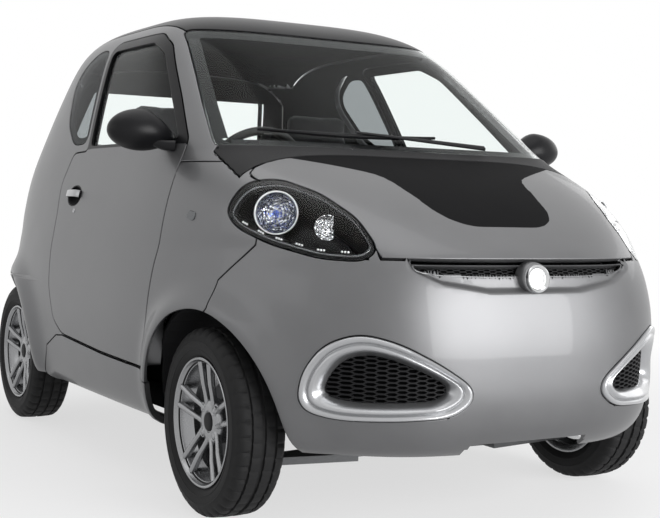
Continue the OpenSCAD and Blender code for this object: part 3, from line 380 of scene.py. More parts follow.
def press_panel(name, lift, sheet, wall, gap=0.004, edge=0.0025, sink=0.0, paint_by=None, lining=None):
    """Closed panel from a cut sheet: border drawn in by half the gap and rolled over, wall behind."""
    places, faces = sheet
    points, normals = lift(places), lift_normals(lift, places)
    across = np.cross(points[faces[:, 1]] - points[faces[:, 0]], points[faces[:, 2]] - points[faces[:, 0]])
    if (across * normals[faces[:, 0]]).sum() < 0:
        normals = -normals
    points = points - sink * normals
    walls = wall(points) if callable(wall) else np.full(len(points), wall)
    directed = {(f[i], f[(i + 1) % 3]) for f in faces for i in range(3)}
    border = [(a, b) for a, b in directed if (b, a) not in directed]
    inward = np.zeros_like(points)
    for a, b in border:
        side = np.cross(normals[a] + normals[b], points[b] - points[a])
        side /= np.linalg.norm(side) + 1e-12
        inward[a] += side
        inward[b] += side
    rim = sorted({v for e in border for v in e})
    length = np.linalg.norm(inward[rim], axis=1)
    inward[rim] *= (2 / np.maximum(length, 1.1) ** 2)[:, None]
    count = len(points)
    vertices = list(points)
    for v in rim:
        vertices[v] = points[v] + inward[v] * (gap / 2 + edge)
    rings = [{v: v for v in rim}]
    for shift, depth in ((0.29, 0.29), (0.0, 1.0)):
        ring = {}
        for v in rim:
            ring[v] = len(vertices)
            vertices.append(points[v] + inward[v] * (gap / 2 + edge * shift) - normals[v] * edge * depth)
        rings.append(ring)
    back = {}
    for v in range(count):
        back[v] = len(vertices)
        drawn_in = inward[v] * gap / 2
        vertices.append(points[v] + drawn_in - normals[v] * walls[v])
    rings.append(back)
    solid = [tuple(f) for f in faces]
    shades = [[normals[v] for v in f] for f in faces]
    solid += [tuple(back[v] for v in f[::-1]) for f in faces]
    shades += [[-normals[v] for v in f[::-1]] for f in faces]
    tilts = [lambda v: normals[v], lambda v: normals[v] - inward[v],
             lambda v: -inward[v], lambda v: -inward[v]]
    for k in range(3):
        for a, b in border:
            solid.append((rings[k][b], rings[k][a], rings[k + 1][a], rings[k + 1][b]))
            shades.append([tilts[k](b), tilts[k](a), tilts[k + 1](a), tilts[k + 1](b)])
    mesh = bpy.data.meshes.new(name)
    mesh.from_pydata([tuple(v) for v in vertices], [], solid)
    mesh.polygons.foreach_set("use_smooth", [True] * len(solid))
    flat = np.array([n for face in shades for n in face])
    flat /= np.linalg.norm(flat, axis=1)[:, None] + 1e-12
    mesh.normals_split_custom_set([tuple(n) for n in flat])
    if paint_by:
        middles = points[faces].mean(1)
        marks = np.zeros(len(solid), int)
        marks[:len(faces)] = paint_by(middles)
        marks[len(faces):2 * len(faces)] = marks[:len(faces)]
        heads = {}
        for mark, f in zip(marks, faces):
            for i in range(3):
                heads[(f[i], f[(i + 1) % 3])] = mark
        marks[2 * len(faces):] = [heads[e] for _ in range(3) for e in border]
        mesh.polygons.foreach_set("material_index", marks)
    if lining:
        for face in mesh.polygons[len(faces):2 * len(faces)]:
            face.material_index = lining
    piece = bpy.data.objects.new(name, mesh)
    scene.collection.objects.link(piece)
    return piece


def mirrored(piece, name):
    """The same piece on the car's left, with its own mesh."""
    twin = piece.copy()
    twin.data = piece.data.copy()
    twin.name = name
    mesh = twin.data
    shades = np.zeros(len(mesh.loops) * 3, np.float32)
    mesh.corner_normals.foreach_get("vector", shades)
    mesh.transform(Matrix.Scale(-1, 4, (0, 1, 0)))
    shades = shades.reshape(-1, 3) * [1, -1, 1]
    flipped = np.empty_like(shades)
    for face in mesh.polygons:
        first, size = face.loop_start, face.loop_total
        flipped[first] = shades[first]
        flipped[first + 1:first + size] = shades[first + 1:first + size][::-1]
    mesh.flip_normals()
    mesh.normals_split_custom_set([tuple(n) for n in flipped])
    scene.collection.objects.link(twin)
    return twin


def shared(points, ends=(half_length, car_height)):
    """Points given as shares of the car's sizes."""
    return np.array(points) * ends


def fit(piece, body, slot, materials, *nodes):
    """Gives a piece its materials, its body, and the CAD nodes that it stands for; the slot is not used."""
    if not len(piece.data.materials):
        for material in materials:
            piece.data.materials.append(material)
    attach(piece, body)
    if nodes:
        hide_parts(*nodes)


def fit_pair(piece, body, slot, materials, *nodes):
    """Fits a right-hand piece, and the same piece mirrored to the left; gives both."""
    twin = mirrored(piece, piece.name.replace("right", "left"))
    fit(piece, body, slot, materials, *nodes)
    left_nodes = [node.replace("right", "left") for node in nodes]
    fit(twin, body.replace("right", "left"), slot, materials, *left_nodes)
    return piece, twin


# Silver paint. Two-stage metallic lacquer: fine aluminium flake under a clear coat with a faint
# orange-peel ripple. The flake changes the colour a little from grain to grain. The black finishes are
# made the same way, with a grain of their own.
def new_material(name):
    """A node material with its nodes and links."""
    material = bpy.data.materials.new(name)
    material.use_nodes = True
    return material, material.node_tree.nodes, material.node_tree.links


def grain_group():
    """Shared surface grain: two sizes of noise give a tone, a roughness and a bumped normal."""
    group = bpy.data.node_groups.new("surface_grain", "ShaderNodeTree")
    for label in ("Scale", "Tone", "Roughness", "Spread", "Depth"):
        group.interface.new_socket(label, in_out="INPUT", socket_type="NodeSocketFloat")
    group.interface.new_socket("Base", in_out="INPUT", socket_type="NodeSocketColor")
    for label, kind in (("Color", "Color"), ("Roughness", "Float"), ("Normal", "Vector")):
        group.interface.new_socket(label, in_out="OUTPUT", socket_type="NodeSocket" + kind)
    nodes, links = group.nodes, group.links
    take, give = nodes.new("NodeGroupInput"), nodes.new("NodeGroupOutput")
    where = nodes.new("ShaderNodeTexCoord")
    fine, broad = nodes.new("ShaderNodeTexNoise"), nodes.new("ShaderNodeTexNoise")
    set_sockets(fine, Detail=3.0)
    set_sockets(broad, Scale=9.0, Detail=4.0)
    links.new(where.outputs["Object"], fine.inputs["Vector"])
    links.new(where.outputs["Object"], broad.inputs["Vector"])
    links.new(take.outputs["Scale"], fine.inputs["Scale"])
    both = math_node(nodes, links, "ADD", fine.outputs["Fac"], broad.outputs["Fac"])
    middle = math_node(nodes, links, "SUBTRACT", both, 1.0)
    tone = math_node(nodes, links, "MULTIPLY_ADD", middle, take.outputs["Tone"], 1.0)
    tint = nodes.new("ShaderNodeVectorMath")
    tint.operation = "SCALE"
    links.new(take.outputs["Base"], tint.inputs[0])
    links.new(tone, tint.inputs["Scale"])
    links.new(tint.outputs[0], give.inputs["Color"])
    links.new(math_node(nodes, links, "MULTIPLY_ADD", middle, take.outputs["Spread"],
                        take.outputs["Roughness"]), give.inputs["Roughness"])
    bump = nodes.new("ShaderNodeBump")
    set_sockets(bump, Distance=0.001)
    links.new(take.outputs["Depth"], bump.inputs["Strength"])
    links.new(fine.outputs["Fac"], bump.inputs["Height"])
    links.new(bump.outputs["Normal"], give.inputs["Normal"])
    return group


surface_grain = grain_group()


def grained(name, base, scale, tone, roughness, spread, depth, **sockets):
    """Material whose colour, roughness and normal come through the shared grain."""
    material, nodes, links = new_material(name)
    shader = nodes["Principled BSDF"]
    grain = nodes.new("ShaderNodeGroup")
    grain.node_tree = surface_grain
    set_sockets(grain, Base=(*base, 1), Scale=scale, Tone=tone, Roughness=roughness, Spread=spread,
                Depth=depth)
    links.new(grain.outputs["Color"], shader.inputs["Base Color"])
    links.new(grain.outputs["Roughness"], shader.inputs["Roughness"])
    links.new(grain.outputs["Normal"], shader.inputs["Normal"])
    set_sockets(shader, **sockets)
    return material


silver_paint = grained("silver_paint", (0.150, 0.151, 0.155), 2600, 0.16, 0.42, 0.10, 0.035, Metallic=0.80,
                       Coat_Weight=0.22, Coat_Roughness=0.04)
black_gloss = grained("black_gloss_paint", (0.009, 0.009, 0.010), 1800, 0.2, 0.30, 0.05, 0.02,
                      Specular_IOR_Level=0.10)
black_plastic = grained("black_grained_plastic", (0.012, 0.012, 0.013), 1100, 0.25, 0.55, 0.12, 0.25,
                        Specular_IOR_Level=0.18)
# Matte black: a real film on the bonnet's tongue, and painted shade on the sheets behind the grilles.
matte_film_and_painted_shade = grained("matte_black_film", (0.005, 0.005, 0.0055), 900, 0.2, 0.70, 0.08, 0.06,
                     Specular_IOR_Level=0.05)

# Outlines of the panels, as a stylist draws them in side, front, rear, top and corner views, in shares
# of the car's half length or half width and of its height.
door_outline = rounded_outline(shared([
    (0.367, 0.643), (0.366, 0.560), (0.360, 0.480), (0.333, 0.360), (0.316, 0.262), (0.300, 0.240),
    (0.040, 0.245), (-0.250, 0.258), (-0.310, 0.287), (-0.334, 0.360), (-0.332, 0.440), (-0.331, 0.530),
    (-0.354, 0.600), (-0.318, 0.672), (-0.217, 0.675), (-0.315, 0.918), (-0.285, 0.934), (-0.015, 0.933),
    (0.072, 0.900), (0.239, 0.778), (0.3595, 0.6835)]), 0.030)
window_outline = rounded_outline(shared([
    (0.315, 0.688), (0.228, 0.756), (0.066, 0.878), (-0.020, 0.909), (-0.276, 0.910), (-0.289, 0.902),
    (-0.203, 0.688)]), 0.022)
quarter_outline = rounded_outline(shared([
    (-0.240, 0.694), (-0.334, 0.918), (-0.420, 0.923), (-0.505, 0.880), (-0.520, 0.835), (-0.450, 0.745),
    (-0.340, 0.690)]), 0.050)
wing_outline = shared([
    (0.300, 0.643), (0.300, 0.240), (0.318, 0.233), (0.335, 0.218), (0.436, 0.202), (0.612, 0.380),
    (0.612, 0.430), (0.690, 0.495), (0.690, 0.643)])
sill_outline = shared([
    (0.460, 0.110), (0.436, 0.202), (0.335, 0.218), (0.300, 0.236), (0.040, 0.241), (-0.250, 0.254),
    (-0.300, 0.250), (-0.390, 0.219), (-0.460, 0.110)])
end_sizes = (half_width, car_height)


def both_halves(points):
    """A half outline of the front or rear view and its mirror image."""
    right = shared(points, end_sizes)
    return np.concatenate([right, right[::-1] * [-1, 1]])


windscreen_outline = rounded_outline(both_halves(
    [(0.805, 0.670), (0.750, 0.768), (0.686, 0.869), (0.637, 0.936)]), 0.030)
tailgate_outline = rounded_outline(both_halves([
    (0.640, 0.370), (0.705, 0.410), (0.727, 0.611), (0.695, 0.740), (0.610, 0.888),
    (0.575, 0.960)]), 0.060)
rear_glass_outline = rounded_outline(both_halves(
    [(0.575, 0.707), (0.590, 0.730), (0.520, 0.865), (0.470, 0.885)]), 0.050)
scoop_outline = both_halves([(0.500, 0.490), (0.490, 0.460), (0.380, 0.436), (0.200, 0.422)])
slot_outline = rounded_outline(both_halves(
    [(0.478, 0.4775), (0.468, 0.464), (0.380, 0.457), (0.200, 0.454)]), 0.02)
tail_lamp_outline = rounded_outline(shared([
    (-0.735, 0.578), (-0.790, 0.515), (-0.852, 0.560), (-0.845, 0.625), (-0.775, 0.655)],
    end_sizes), 0.045)
head_lamp_outline = rounded_outline(shared([
    (0.070, 0.555), (0.105, 0.605), (0.175, 0.613), (0.270, 0.588), (0.355, 0.547), (0.409, 0.496),
    (0.385, 0.475), (0.300, 0.477), (0.185, 0.498), (0.100, 0.525)]), 0.040)
grille_outline = rounded_outline(shared([
    (-0.800, 0.245), (-0.785, 0.290), (-0.740, 0.338), (-0.655, 0.358), (-0.545, 0.343), (-0.410, 0.308),
    (-0.290, 0.270), (-0.285, 0.243), (-0.360, 0.219), (-0.535, 0.214), (-0.700, 0.212), (-0.775, 0.222)],
    end_sizes), 0.040)
belt_height = 0.684 * car_height
bonnet_rear_x = 0.579 * half_length
bonnet_front_z = 0.481 * car_height
cowl_top_z = 0.677 * car_height
cowl_half = 0.815 * half_width
cowl_rear_x = 0.45 * half_length
roof_half = 0.630 * half_width
roof_low_z = 0.905 * car_height
wing_top_z = 0.643 * car_height
tailgate_top_x = -0.745 * half_length
rear_bumper_top_z = 0.365 * car_height
rear_bumper_front_x = -0.740 * half_length
bumper_clearance = 0.226
bonnet_outline = rounded_outline(shared([
    (0.579, -0.785), (0.620, -0.785), (0.900, -0.560), (1.200, -0.560), (1.200, 0.560), (0.900, 0.560),
    (0.620, 0.785), (0.579, 0.785)], (half_length, half_width)), 0.050)


def in_side(outline, p):
    return within(outline, p[:, 0], p[:, 2])


def in_front(outline, p):
    return within(outline, p[:, 1], p[:, 2])


def corner_reach(p):
    """How far a point lies along the corner view, seen from 45 degrees between front and side."""
    return (p[:, 0] - np.abs(p[:, 1])) / math.sqrt(2)


def in_lamp(p):
    return within(head_lamp_outline, corner_reach(p), p[:, 2]) & (p[:, 0] > 0.5)


def in_tail_lamp(p):
    return in_front(tail_lamp_outline, p) & (p[:, 0] < -0.8)


def in_bonnet(p):
    return within(bonnet_outline, p[:, 0], p[:, 1]) & (p[:, 2] > bonnet_front_z)


def in_cowl(p):
    return ((p[:, 0] > cowl_rear_x) & (p[:, 0] < bonnet_rear_x) & (np.abs(p[:, 1]) < cowl_half)
            & (p[:, 2] > 0.60 * car_height) & (p[:, 2] < cowl_top_z))


def in_arch(p, axle):
    return np.hypot(p[:, 0] - axle, p[:, 2] - axle_height) < arch_radius


def in_windscreen(p):
    return in_front(windscreen_outline, p) & (p[:, 0] > 0) & (p[:, 2] > cowl_top_z)


def in_roof(p):
    return (np.abs(p[:, 1]) < roof_half) & (p[:, 2] > roof_low_z) & (p[:, 0] > tailgate_top_x) & (
        p[:, 0] < 0.20 * half_length)


def in_tailgate(p):
    return in_front(tailgate_outline, p) & (p[:, 0] < tailgate_top_x)


def in_rear_bumper(p):
    return (p[:, 0] < rear_bumper_front_x) & (p[:, 2] < rear_bumper_top_z)


def side_curve(points, closed=True):
    return view_places("side", finely(points, closed=closed)), closed


def front_curve(points, closed=True):
    return view_places("front", finely(points, closed=closed)), closed


def rear_curve(points, closed=True):
    return view_places("rear", finely(points, closed=closed)), closed


arch_turns = np.linspace(math.radians(-12), math.radians(192), 90)


def arch_curve(axle):
    circle = np.column_stack([axle + arch_radius * np.cos(arch_turns),
                              axle_height + arch_radius * np.sin(arch_turns)])
    return view_places("side", circle[circle[:, 1] > 0.195]), False


lamp_places = view_places("corner", finely(head_lamp_outline))
lamp_curve = (lamp_places, True)
left_lamp_curve = (lamp_places * [-1, 1], True)


def top_curve(points, closed=True):
    """Outline seen from above, laid on the skin and read as plane places."""
    lifted = top_lift(finely(points, closed=closed))
    rows = []
    for x, y, z in lifted:
        around = np.linspace(-1.97, -0.001, 700) if y < 0 else np.linspace(0.001, 1.97, 700)
        ring = ring_point(around, np.full(700, z))
        rows.append((around[np.argmin(np.hypot(ring[:, 0] - x, ring[:, 1] - y))] * around_scale, z))
    return np.array(rows), closed


def level_curve(z, start, end):
    """Line round the skin at one height."""
    count = int(abs(end - start) * around_scale / 0.014)
    line = np.linspace(start * around_scale, end * around_scale, count)
    return np.column_stack([line, np.full(len(line), z)]), False


def plane_at(around, z):
    """Corner of the stretch of skin that a sheet is cut from."""
    return around * around_scale, z


# Front wings. Pressed steel from the lamp back to the door and round the arch, bolted under the bonnet
# edge; the rolled lip of the arch and the seams to door, bumper and lamp are its borders.
wing_sheet = cut_sheet(
    wrap_lift,
    [side_curve(wing_outline), side_curve(door_outline), lamp_curve, arch_curve(front_axle_x),
     top_curve(bonnet_outline[:len(bonnet_outline) // 2], False), level_curve(bonnet_front_z, -0.9, -0.2),
     top_curve([(bonnet_rear_x, -0.56), (bonnet_rear_x, -cowl_half), (0.44, -cowl_half)], False)],
    lambda p: (in_side(wing_outline, p) & ~in_side(door_outline, p) & ~in_lamp(p) & ~in_bonnet(p)
               & ~in_cowl(p) & ~in_arch(p, front_axle_x) & (p[:, 1] < -0.38)),
    plane_at(-0.98, 0.30), plane_at(-0.30, 1.02), 0.014)
wing_right = press_panel("wing_right_skin", wrap_lift, wing_sheet, 0.010)
fit_pair(wing_right, "body", "silver_paint", [silver_paint], "wing_right")

# Doors. Each is a deep pressed shell with a slim black window frame over the belt line; its front edge
# hangs on two hinges under the wing and its border rolls in along the shut line.
def door_wall(p):
    return 0.060 - 0.034 * smooth_step(belt_height - 0.035, belt_height - 0.010, p[:, 2])


handle_x, handle_z = -0.310, 0.891
handle_long, handle_high = 0.066, 0.034
handle_turns = np.linspace(0, 2 * math.pi, 40, endpoint=False)
handle_outline = np.column_stack([handle_x + handle_long * np.cos(handle_turns),
                                  handle_z + handle_high * np.sin(handle_turns)])
frame_edge = shared([(0.375, 0.6785), (0.200, 0.6800), (-0.190, 0.6795), (-0.330, 0.6720)])
door_sheet = cut_sheet(
    wrap_lift, [side_curve(door_outline), side_curve(window_outline), side_curve(frame_edge, False),
                side_curve(handle_outline)],
    lambda p: in_side(door_outline, p) & ~in_side(window_outline, p) & ~in_side(handle_outline, p),
    plane_at(-1.45, 0.35), plane_at(-0.55, 1.47), 0.016)
door_right = press_panel("door_right_skin", wrap_lift, door_sheet, door_wall, gap=0.005, lining=2,
                         paint_by=lambda p: np.where(p[:, 2] > np.interp(p[:, 0], frame_edge[::-1, 0],
                                                                         frame_edge[::-1, 1]), 1, 0))
fit_pair(door_right, "door_right", "silver_paint", [silver_paint, black_gloss, black_plastic], "door_right")

# Body sides. One pressing on each side runs from the windscreen pillar over the door as the cant rail
# and down into the rear quarter with its arch; the quarter pane and the tail lamp sit in openings.
side_sheet = cut_sheet(
    wrap_lift,
    [side_curve(door_outline), side_curve(wing_outline), side_curve(sill_outline),
     side_curve(quarter_outline), front_curve(windscreen_outline), rear_curve(tailgate_outline),
     rear_curve(tail_lamp_outline), arch_curve(rear_axle_x),
     level_curve(rear_bumper_top_z, -1.98, -1.2), level_curve(wing_top_z, -0.9, -0.3),
     top_curve([(0.18, -roof_half), (tailgate_top_x, -roof_half)], False),
     side_curve([(rear_bumper_front_x, 0.20), (rear_bumper_front_x, rear_bumper_top_z)], False),
     top_curve([(bonnet_rear_x, -cowl_half), (cowl_rear_x, -cowl_half), (cowl_rear_x, -0.5)], False),
     level_curve(cowl_top_z, -0.9, -0.2),
     level_curve(bumper_clearance, -1.9, -1.0)],
    lambda p: ((p[:, 1] < -0.345) & ~in_side(door_outline, p) & ~in_side(wing_outline, p)
               & ~in_side(sill_outline, p) & ~in_side(quarter_outline, p) & ~in_windscreen(p) & ~in_cowl(p)
               & ~in_roof(p) & ~in_tailgate(p) & ~in_rear_bumper(p) & ~in_arch(p, rear_axle_x)
               & ~in_tail_lamp(p) & ~((p[:, 0] > 0.2 * half_length) & (p[:, 2] < wing_top_z))
               & (p[:, 2] > bumper_clearance) & (p[:, 0] < 0.57 * half_length)),
    plane_at(-1.985, 0.20), plane_at(-0.36, 1.50), 0.015)
side_right = press_panel("side_panel_right_skin", wrap_lift, side_sheet, 0.030, lining=1)
fit_pair(side_right, "body", "silver_paint", [silver_paint, black_plastic], "side_panel_right")

# Sill covers. Skirts moulded in plastic and painted with the body, clipped under the doors between the
# two arches; each is cut from the skin along the lower edge of its door.
sill_sheet = cut_sheet(
    wrap_lift,
    [side_curve(sill_outline), side_curve(door_outline), arch_curve(front_axle_x), arch_curve(rear_axle_x)],
    lambda p: (in_side(sill_outline, p) & ~in_side(door_outline, p) & ~in_arch(p, front_axle_x)
               & ~in_arch(p, rear_axle_x)),
    plane_at(-1.5, 0.192), plane_at(-0.5, 0.42), 0.014)
sill_right = press_panel("sill_cover_right_skin", wrap_lift, sill_sheet, 0.020, gap=0.003)
fit_pair(sill_right, "body", "silver_paint", [silver_paint], "sill_cover_right")

# Bonnet. Short lid of pressed steel, painted and hinged at the cowl, with a tongue of matte black film
# laid on it from the cowl down towards the nose.
tongue_outline = rounded_outline(np.array([
    (0.640, -0.640), (0.700, -0.607), (0.823, -0.447), (0.942, -0.251), (1.166, -0.196), (1.213, -0.128),
    (1.213, 0.128), (1.166, 0.196), (0.942, 0.251), (0.823, 0.447), (0.700, 0.607), (0.640, 0.640)]), 0.045)
bonnet_sheet = cut_sheet(
    wrap_lift,
    [top_curve(bonnet_outline), lamp_curve, left_lamp_curve, top_curve(tongue_outline),
     level_curve(bonnet_front_z, -0.6, 0.6)],
    lambda p: in_bonnet(p) & ~in_lamp(p),
    plane_at(-0.75, 0.73), plane_at(0.75, 1.04), 0.014)
bonnet = press_panel("bonnet_skin", wrap_lift, bonnet_sheet, 0.014, gap=0.005,
                     paint_by=lambda p: within(tongue_outline, p[:, 0], p[:, 1]).astype(int))
fit(bonnet, "bonnet", "silver_paint", [silver_paint, matte_film_and_painted_shade], "bonnet")

# Front bumper. One wide moulding from arch to arch, scooped below the bonnet's edge for the slot grille,
# opened for the two lower grilles, with a step in its lower lip.
chin_step, chin_half = 0.032, 0.195
scoop_depth = 0.020
chin_outline = np.array([
    (-chin_half - 2 * chin_step, 0), (-chin_half, bumper_clearance + chin_step),
    (chin_half, bumper_clearance + chin_step), (chin_half + 2 * chin_step, 0)])


def bumper_lift(plane):
    """The skin with the scoop below the bonnet pressed into it."""
    bare = wrap_lift(plane)
    normals = lift_normals(wrap_lift, plane)
    low_edge = np.interp(np.abs(bare[:, 1]), scoop_outline[3::-1, 0], scoop_outline[3::-1, 1])
    low_edge = np.where(np.abs(bare[:, 1]) > 0.5 * half_width, 10, low_edge)
    sunk = scoop_depth * smooth_step(0, 0.024, bare[:, 2] - low_edge)
    sunk = sunk * (1 - smooth_step(0.455 * half_width, 0.495 * half_width, np.abs(bare[:, 1])))
    return bare - normals * np.where(bare[:, 0] > 1, sunk, 0)[:, None]


lamp_low = shared([
    (0.070, 0.555), (0.100, 0.525), (0.185, 0.498), (0.300, 0.477), (0.385, 0.475), (0.409, 0.496),
    (0.425, 0.530)])


def under_lamp(p):
    """The bumper's corner between the wing, the bonnet and the lamp's lower edge."""
    corner = corner_reach(p)
    below = p[:, 2] < np.interp(corner, lamp_low[:, 0], lamp_low[:, 1])
    return below & (corner > lamp_low[0, 0]) & ~in_bonnet(p)


def to_left(curve):
    """A curve of the right side, mirrored."""
    return curve[0] * [-1, 1], curve[1]


bumper_top_z = bonnet_front_z - 0.003
bonnet_side = top_curve(shared([(0.620, -0.785), (0.900, -0.560), (0.960, -0.560)],
                               (half_length, half_width)), False)
scoop_folds = [front_curve(scoop_outline[1:-1] + [0, rise], False) for rise in (0, 0.008, 0.016, 0.024)]
bumper_sheet = cut_sheet(
    bumper_lift,
    [front_curve(grille_outline), to_left(front_curve(grille_outline)), side_curve(wing_outline),
     to_left(side_curve(wing_outline)), lamp_curve, left_lamp_curve, arch_curve(front_axle_x),
     to_left(arch_curve(front_axle_x)), front_curve(slot_outline),
     level_curve(bumper_top_z, -0.8, 0.8), level_curve(bumper_clearance, -0.99, 0.99),
     front_curve(chin_outline[1:3], False), bonnet_side, *scoop_folds, to_left(bonnet_side)],
    lambda p: (((p[:, 2] < bumper_top_z) | under_lamp(p)) & (p[:, 2] > bumper_clearance)
               & (p[:, 0] > 0.5 * half_length)
               & ~in_side(wing_outline, p) & ~in_lamp(p) & ~in_arch(p, front_axle_x)
               & ~within(grille_outline, -np.abs(p[:, 1]), p[:, 2]) & ~in_front(slot_outline, p)
               & ~in_front(chin_outline, p)),
    plane_at(-0.98, 0.20), plane_at(0.98, 0.86), 0.014)
front_bumper = press_panel("front_bumper_skin", bumper_lift, bumper_sheet, 0.010)
fit(front_bumper, "body", "silver_paint", [silver_paint], "front_bumper")

# Roof. A single steel panel in gloss black, bonded between the cant rails, from the windscreen back
# to the tailgate.
roof_front = finely(windscreen_outline)
roof_low, roof_high = (tailgate_top_x, -roof_half), (0.20 * half_length, roof_half)
front_rim = wrap_lift(view_places("front", roof_front[roof_front[:, 1] > roof_low_z - 0.02]))
front_rim = front_rim[np.argsort(front_rim[:, 1])]
roof_sheet = cut_sheet(
    top_lift,
    [(front_rim[:, :2], False),
     (finely([(0.19, -roof_half + 1e-4), (tailgate_top_x + 0.001, -roof_half + 1e-4),
              (tailgate_top_x + 0.001, roof_half - 1e-4), (0.19, roof_half - 1e-4)], closed=False), False)],
    lambda p: (np.abs(p[:, 1]) < roof_half) & (p[:, 0] > tailgate_top_x) & ~in_windscreen(p)
    & (p[:, 2] > roof_low_z),
    roof_low, roof_high, 0.018)
roof = press_panel("roof_skin", top_lift, roof_sheet, 0.020, gap=0.005)
fit(roof, "body", "black_roof_paint", [black_gloss], "roof_panel")

# Cowl. Black strip moulded in grained plastic, clipped in between the bonnet's rear edge and the foot
# of the windscreen.
cowl_sheet = cut_sheet(
    wrap_lift,
    [level_curve(cowl_top_z, -0.9, 0.9),
     top_curve([(bonnet_rear_x, -cowl_half), (bonnet_rear_x, cowl_half)], False),
     top_curve([(bonnet_rear_x, -cowl_half), (0.44, -cowl_half)], False),
     top_curve([(bonnet_rear_x, cowl_half), (0.44, cowl_half)], False)],
    in_cowl,
    plane_at(-0.8, 0.93), plane_at(0.8, 1.06), 0.012)
cowl = press_panel("cowl_skin", wrap_lift, cowl_sheet, 0.010)
fit(cowl, "body", "black_plastic", [black_plastic], "cowl")


# Glass. Laminated windscreen, drop panes in the doors and a rear pane, all lightly green, and dark fixed
# quarter panes; a fired black band hides the bonding along each border.
def textured(name, kind, scale, height, strength, distance, **sockets):
    """Material with these sockets, bumped by one output of a texture; gives the texture's node too."""
    material, nodes, links = new_material(name)
    shader = nodes["Principled BSDF"]
    set_sockets(shader, **sockets)
    where, texture, bump = (nodes.new("ShaderNode" + part) for part in ("TexCoord", kind, "Bump"))
    set_sockets(texture, Scale=scale)
    set_sockets(bump, Strength=strength, Distance=distance)
    links.new(where.outputs["Object"], texture.inputs["Vector"])
    links.new(texture.outputs[height], bump.inputs["Height"])
    links.new(bump.outputs["Normal"], shader.inputs["Normal"])
    return material, texture


def glass_material(name, tint, roughness=0.02, bend=1.08):
    """Clear material with the faint ripple of poured glass."""
    material, _ = textured(name, "TexNoise", 3.0, "Fac", 0.02, 0.001, Base_Color=(*tint, 1),
                           Roughness=roughness, IOR=bend, Transmission_Weight=1.0)
    return material


tinted_glass = glass_material("tinted_glass", (0.94, 0.97, 0.96))
dark_glass = glass_material("dark_glass", (0.30, 0.32, 0.33))
glass_wall = 0.004


def inner_outline(outline, border):
    """The outline drawn in by the border's width."""
    edge = np.roll(outline, -1, 0) - np.roll(outline, 1, 0)
    side = np.column_stack([-edge[:, 1], edge[:, 0]])
    side /= np.linalg.norm(side, axis=1)[:, None] + 1e-12
    turn = np.sum(outline[:, 0] * np.roll(outline[:, 1], -1) - np.roll(outline[:, 0], -1) * outline[:, 1])
    return outline + side * border * np.sign(turn)


def glaze(name, node, body, view, outline, keep, low, high, border, sink, material, sides, lift=wrap_lift,
          cuts=()):
    """A pane over an opening with its fired border behind it; sides is 1 for a pane on the middle line."""
    curve = view(outline)
    clear = inner_outline(finely(outline, 0.02), border)
    in_clear = in_side if view is side_curve else in_front
    pane = press_panel(name, lift, cut_sheet(lift, [curve, *cuts], keep, low, high, 0.022), glass_wall,
                       gap=0.003, edge=0.001, sink=sink)
    band_sheet = cut_sheet(lift, [curve, view(clear), *cuts], lambda p: keep(p) & ~in_clear(clear, p),
                           low, high, 0.022)
    band = press_panel(name + "_fired_band", lift, band_sheet, 0.001, gap=0.006, edge=0.0003,
                       sink=sink + glass_wall + 0.0008)
    dress = fit_pair if sides == 2 else fit
    dress(pane, body, "tinted_glass", [material], node)
    dress(band, body, "black_roof_paint", [black_gloss])


glaze("windscreen_pane", "windscreen", "body", front_curve, windscreen_outline, in_windscreen,
      plane_at(-0.75, 1.0), plane_at(0.75, 1.47), 0.032, 0.002, tinted_glass, 1,
      cuts=[level_curve(cowl_top_z, -0.9, 0.9)])
glaze("door_glass_right_pane", "door_glass_right", "door_right", side_curve, window_outline,
      lambda p: in_side(window_outline, p), plane_at(-1.4, 1.04), plane_at(-0.5, 1.45), 0.004, 0.009,
      tinted_glass, 2)
glaze("quarter_glass_right_pane", "quarter_glass_right", "body", side_curve, quarter_outline,
      lambda p: in_side(quarter_outline, p), plane_at(-1.6, 1.05), plane_at(-1.0, 1.46), 0.030, 0.002,
      dark_glass, 2)


def in_rear_glass(p):
    return in_front(rear_glass_outline, p) & (p[:, 0] < -0.6)


def tail_lift(plane):
    """Plane places counted from the tail's middle line to points of the skin."""
    around = np.where(plane[:, 0] < 0, 1, -1) * (2 - np.abs(plane[:, 0]) / around_scale)
    return ring_point(around, plane[:, 1])


def tail_curve(points, closed=True):
    """Outline in the rear view as plane places counted from the tail's middle line."""
    places, _ = rear_curve(points, closed)
    along = 2 * around_scale - np.abs(places[:, 0])
    return np.column_stack([-np.sign(places[:, 0]) * along, places[:, 1]]), closed


# Tailgate. Pressed steel, painted: a frame round the rear pane over a plain lower panel, lined in black
# plastic inside. It hangs on two hinges at the roof's rear edge.
rim_places = []
for x, y, z in top_lift(np.column_stack([np.full(60, tailgate_top_x), np.linspace(-0.46, 0.46, 60)])):
    around = np.linspace(1.0, 1.9999, 1500)
    ring = ring_point(around, np.full(1500, z))
    spot = around[np.argmin(np.hypot(ring[:, 0] - x, ring[:, 1] - abs(y)))]
    rim_places.append((-math.copysign((2 - spot) * around_scale, y), z))
tailgate_rim = (np.array(rim_places), False)
tailgate_sheet = cut_sheet(
    tail_lift, [tail_curve(tailgate_outline[tailgate_outline[:, 1] < 1.42], False),
                tail_curve(rear_glass_outline), tailgate_rim],
    lambda p: in_tailgate(p) & ~in_rear_glass(p),
    (-1.3, 0.55), (1.3, 1.47), 0.015)
tailgate = press_panel("tailgate_skin", tail_lift, tailgate_sheet, 0.030, gap=0.006, lining=1)
fit(tailgate, "tailgate", "silver_paint", [silver_paint, black_plastic], "tailgate")

# Rear bumper. One plastic moulding, painted with the body, clipped on below the tailgate and running
# round to the rear arches.
rear_line = np.linspace(-1.6, 1.6, 220)
rear_levels = [(np.column_stack([rear_line, np.full(220, z)]), False)
               for z in (rear_bumper_top_z, bumper_clearance)]


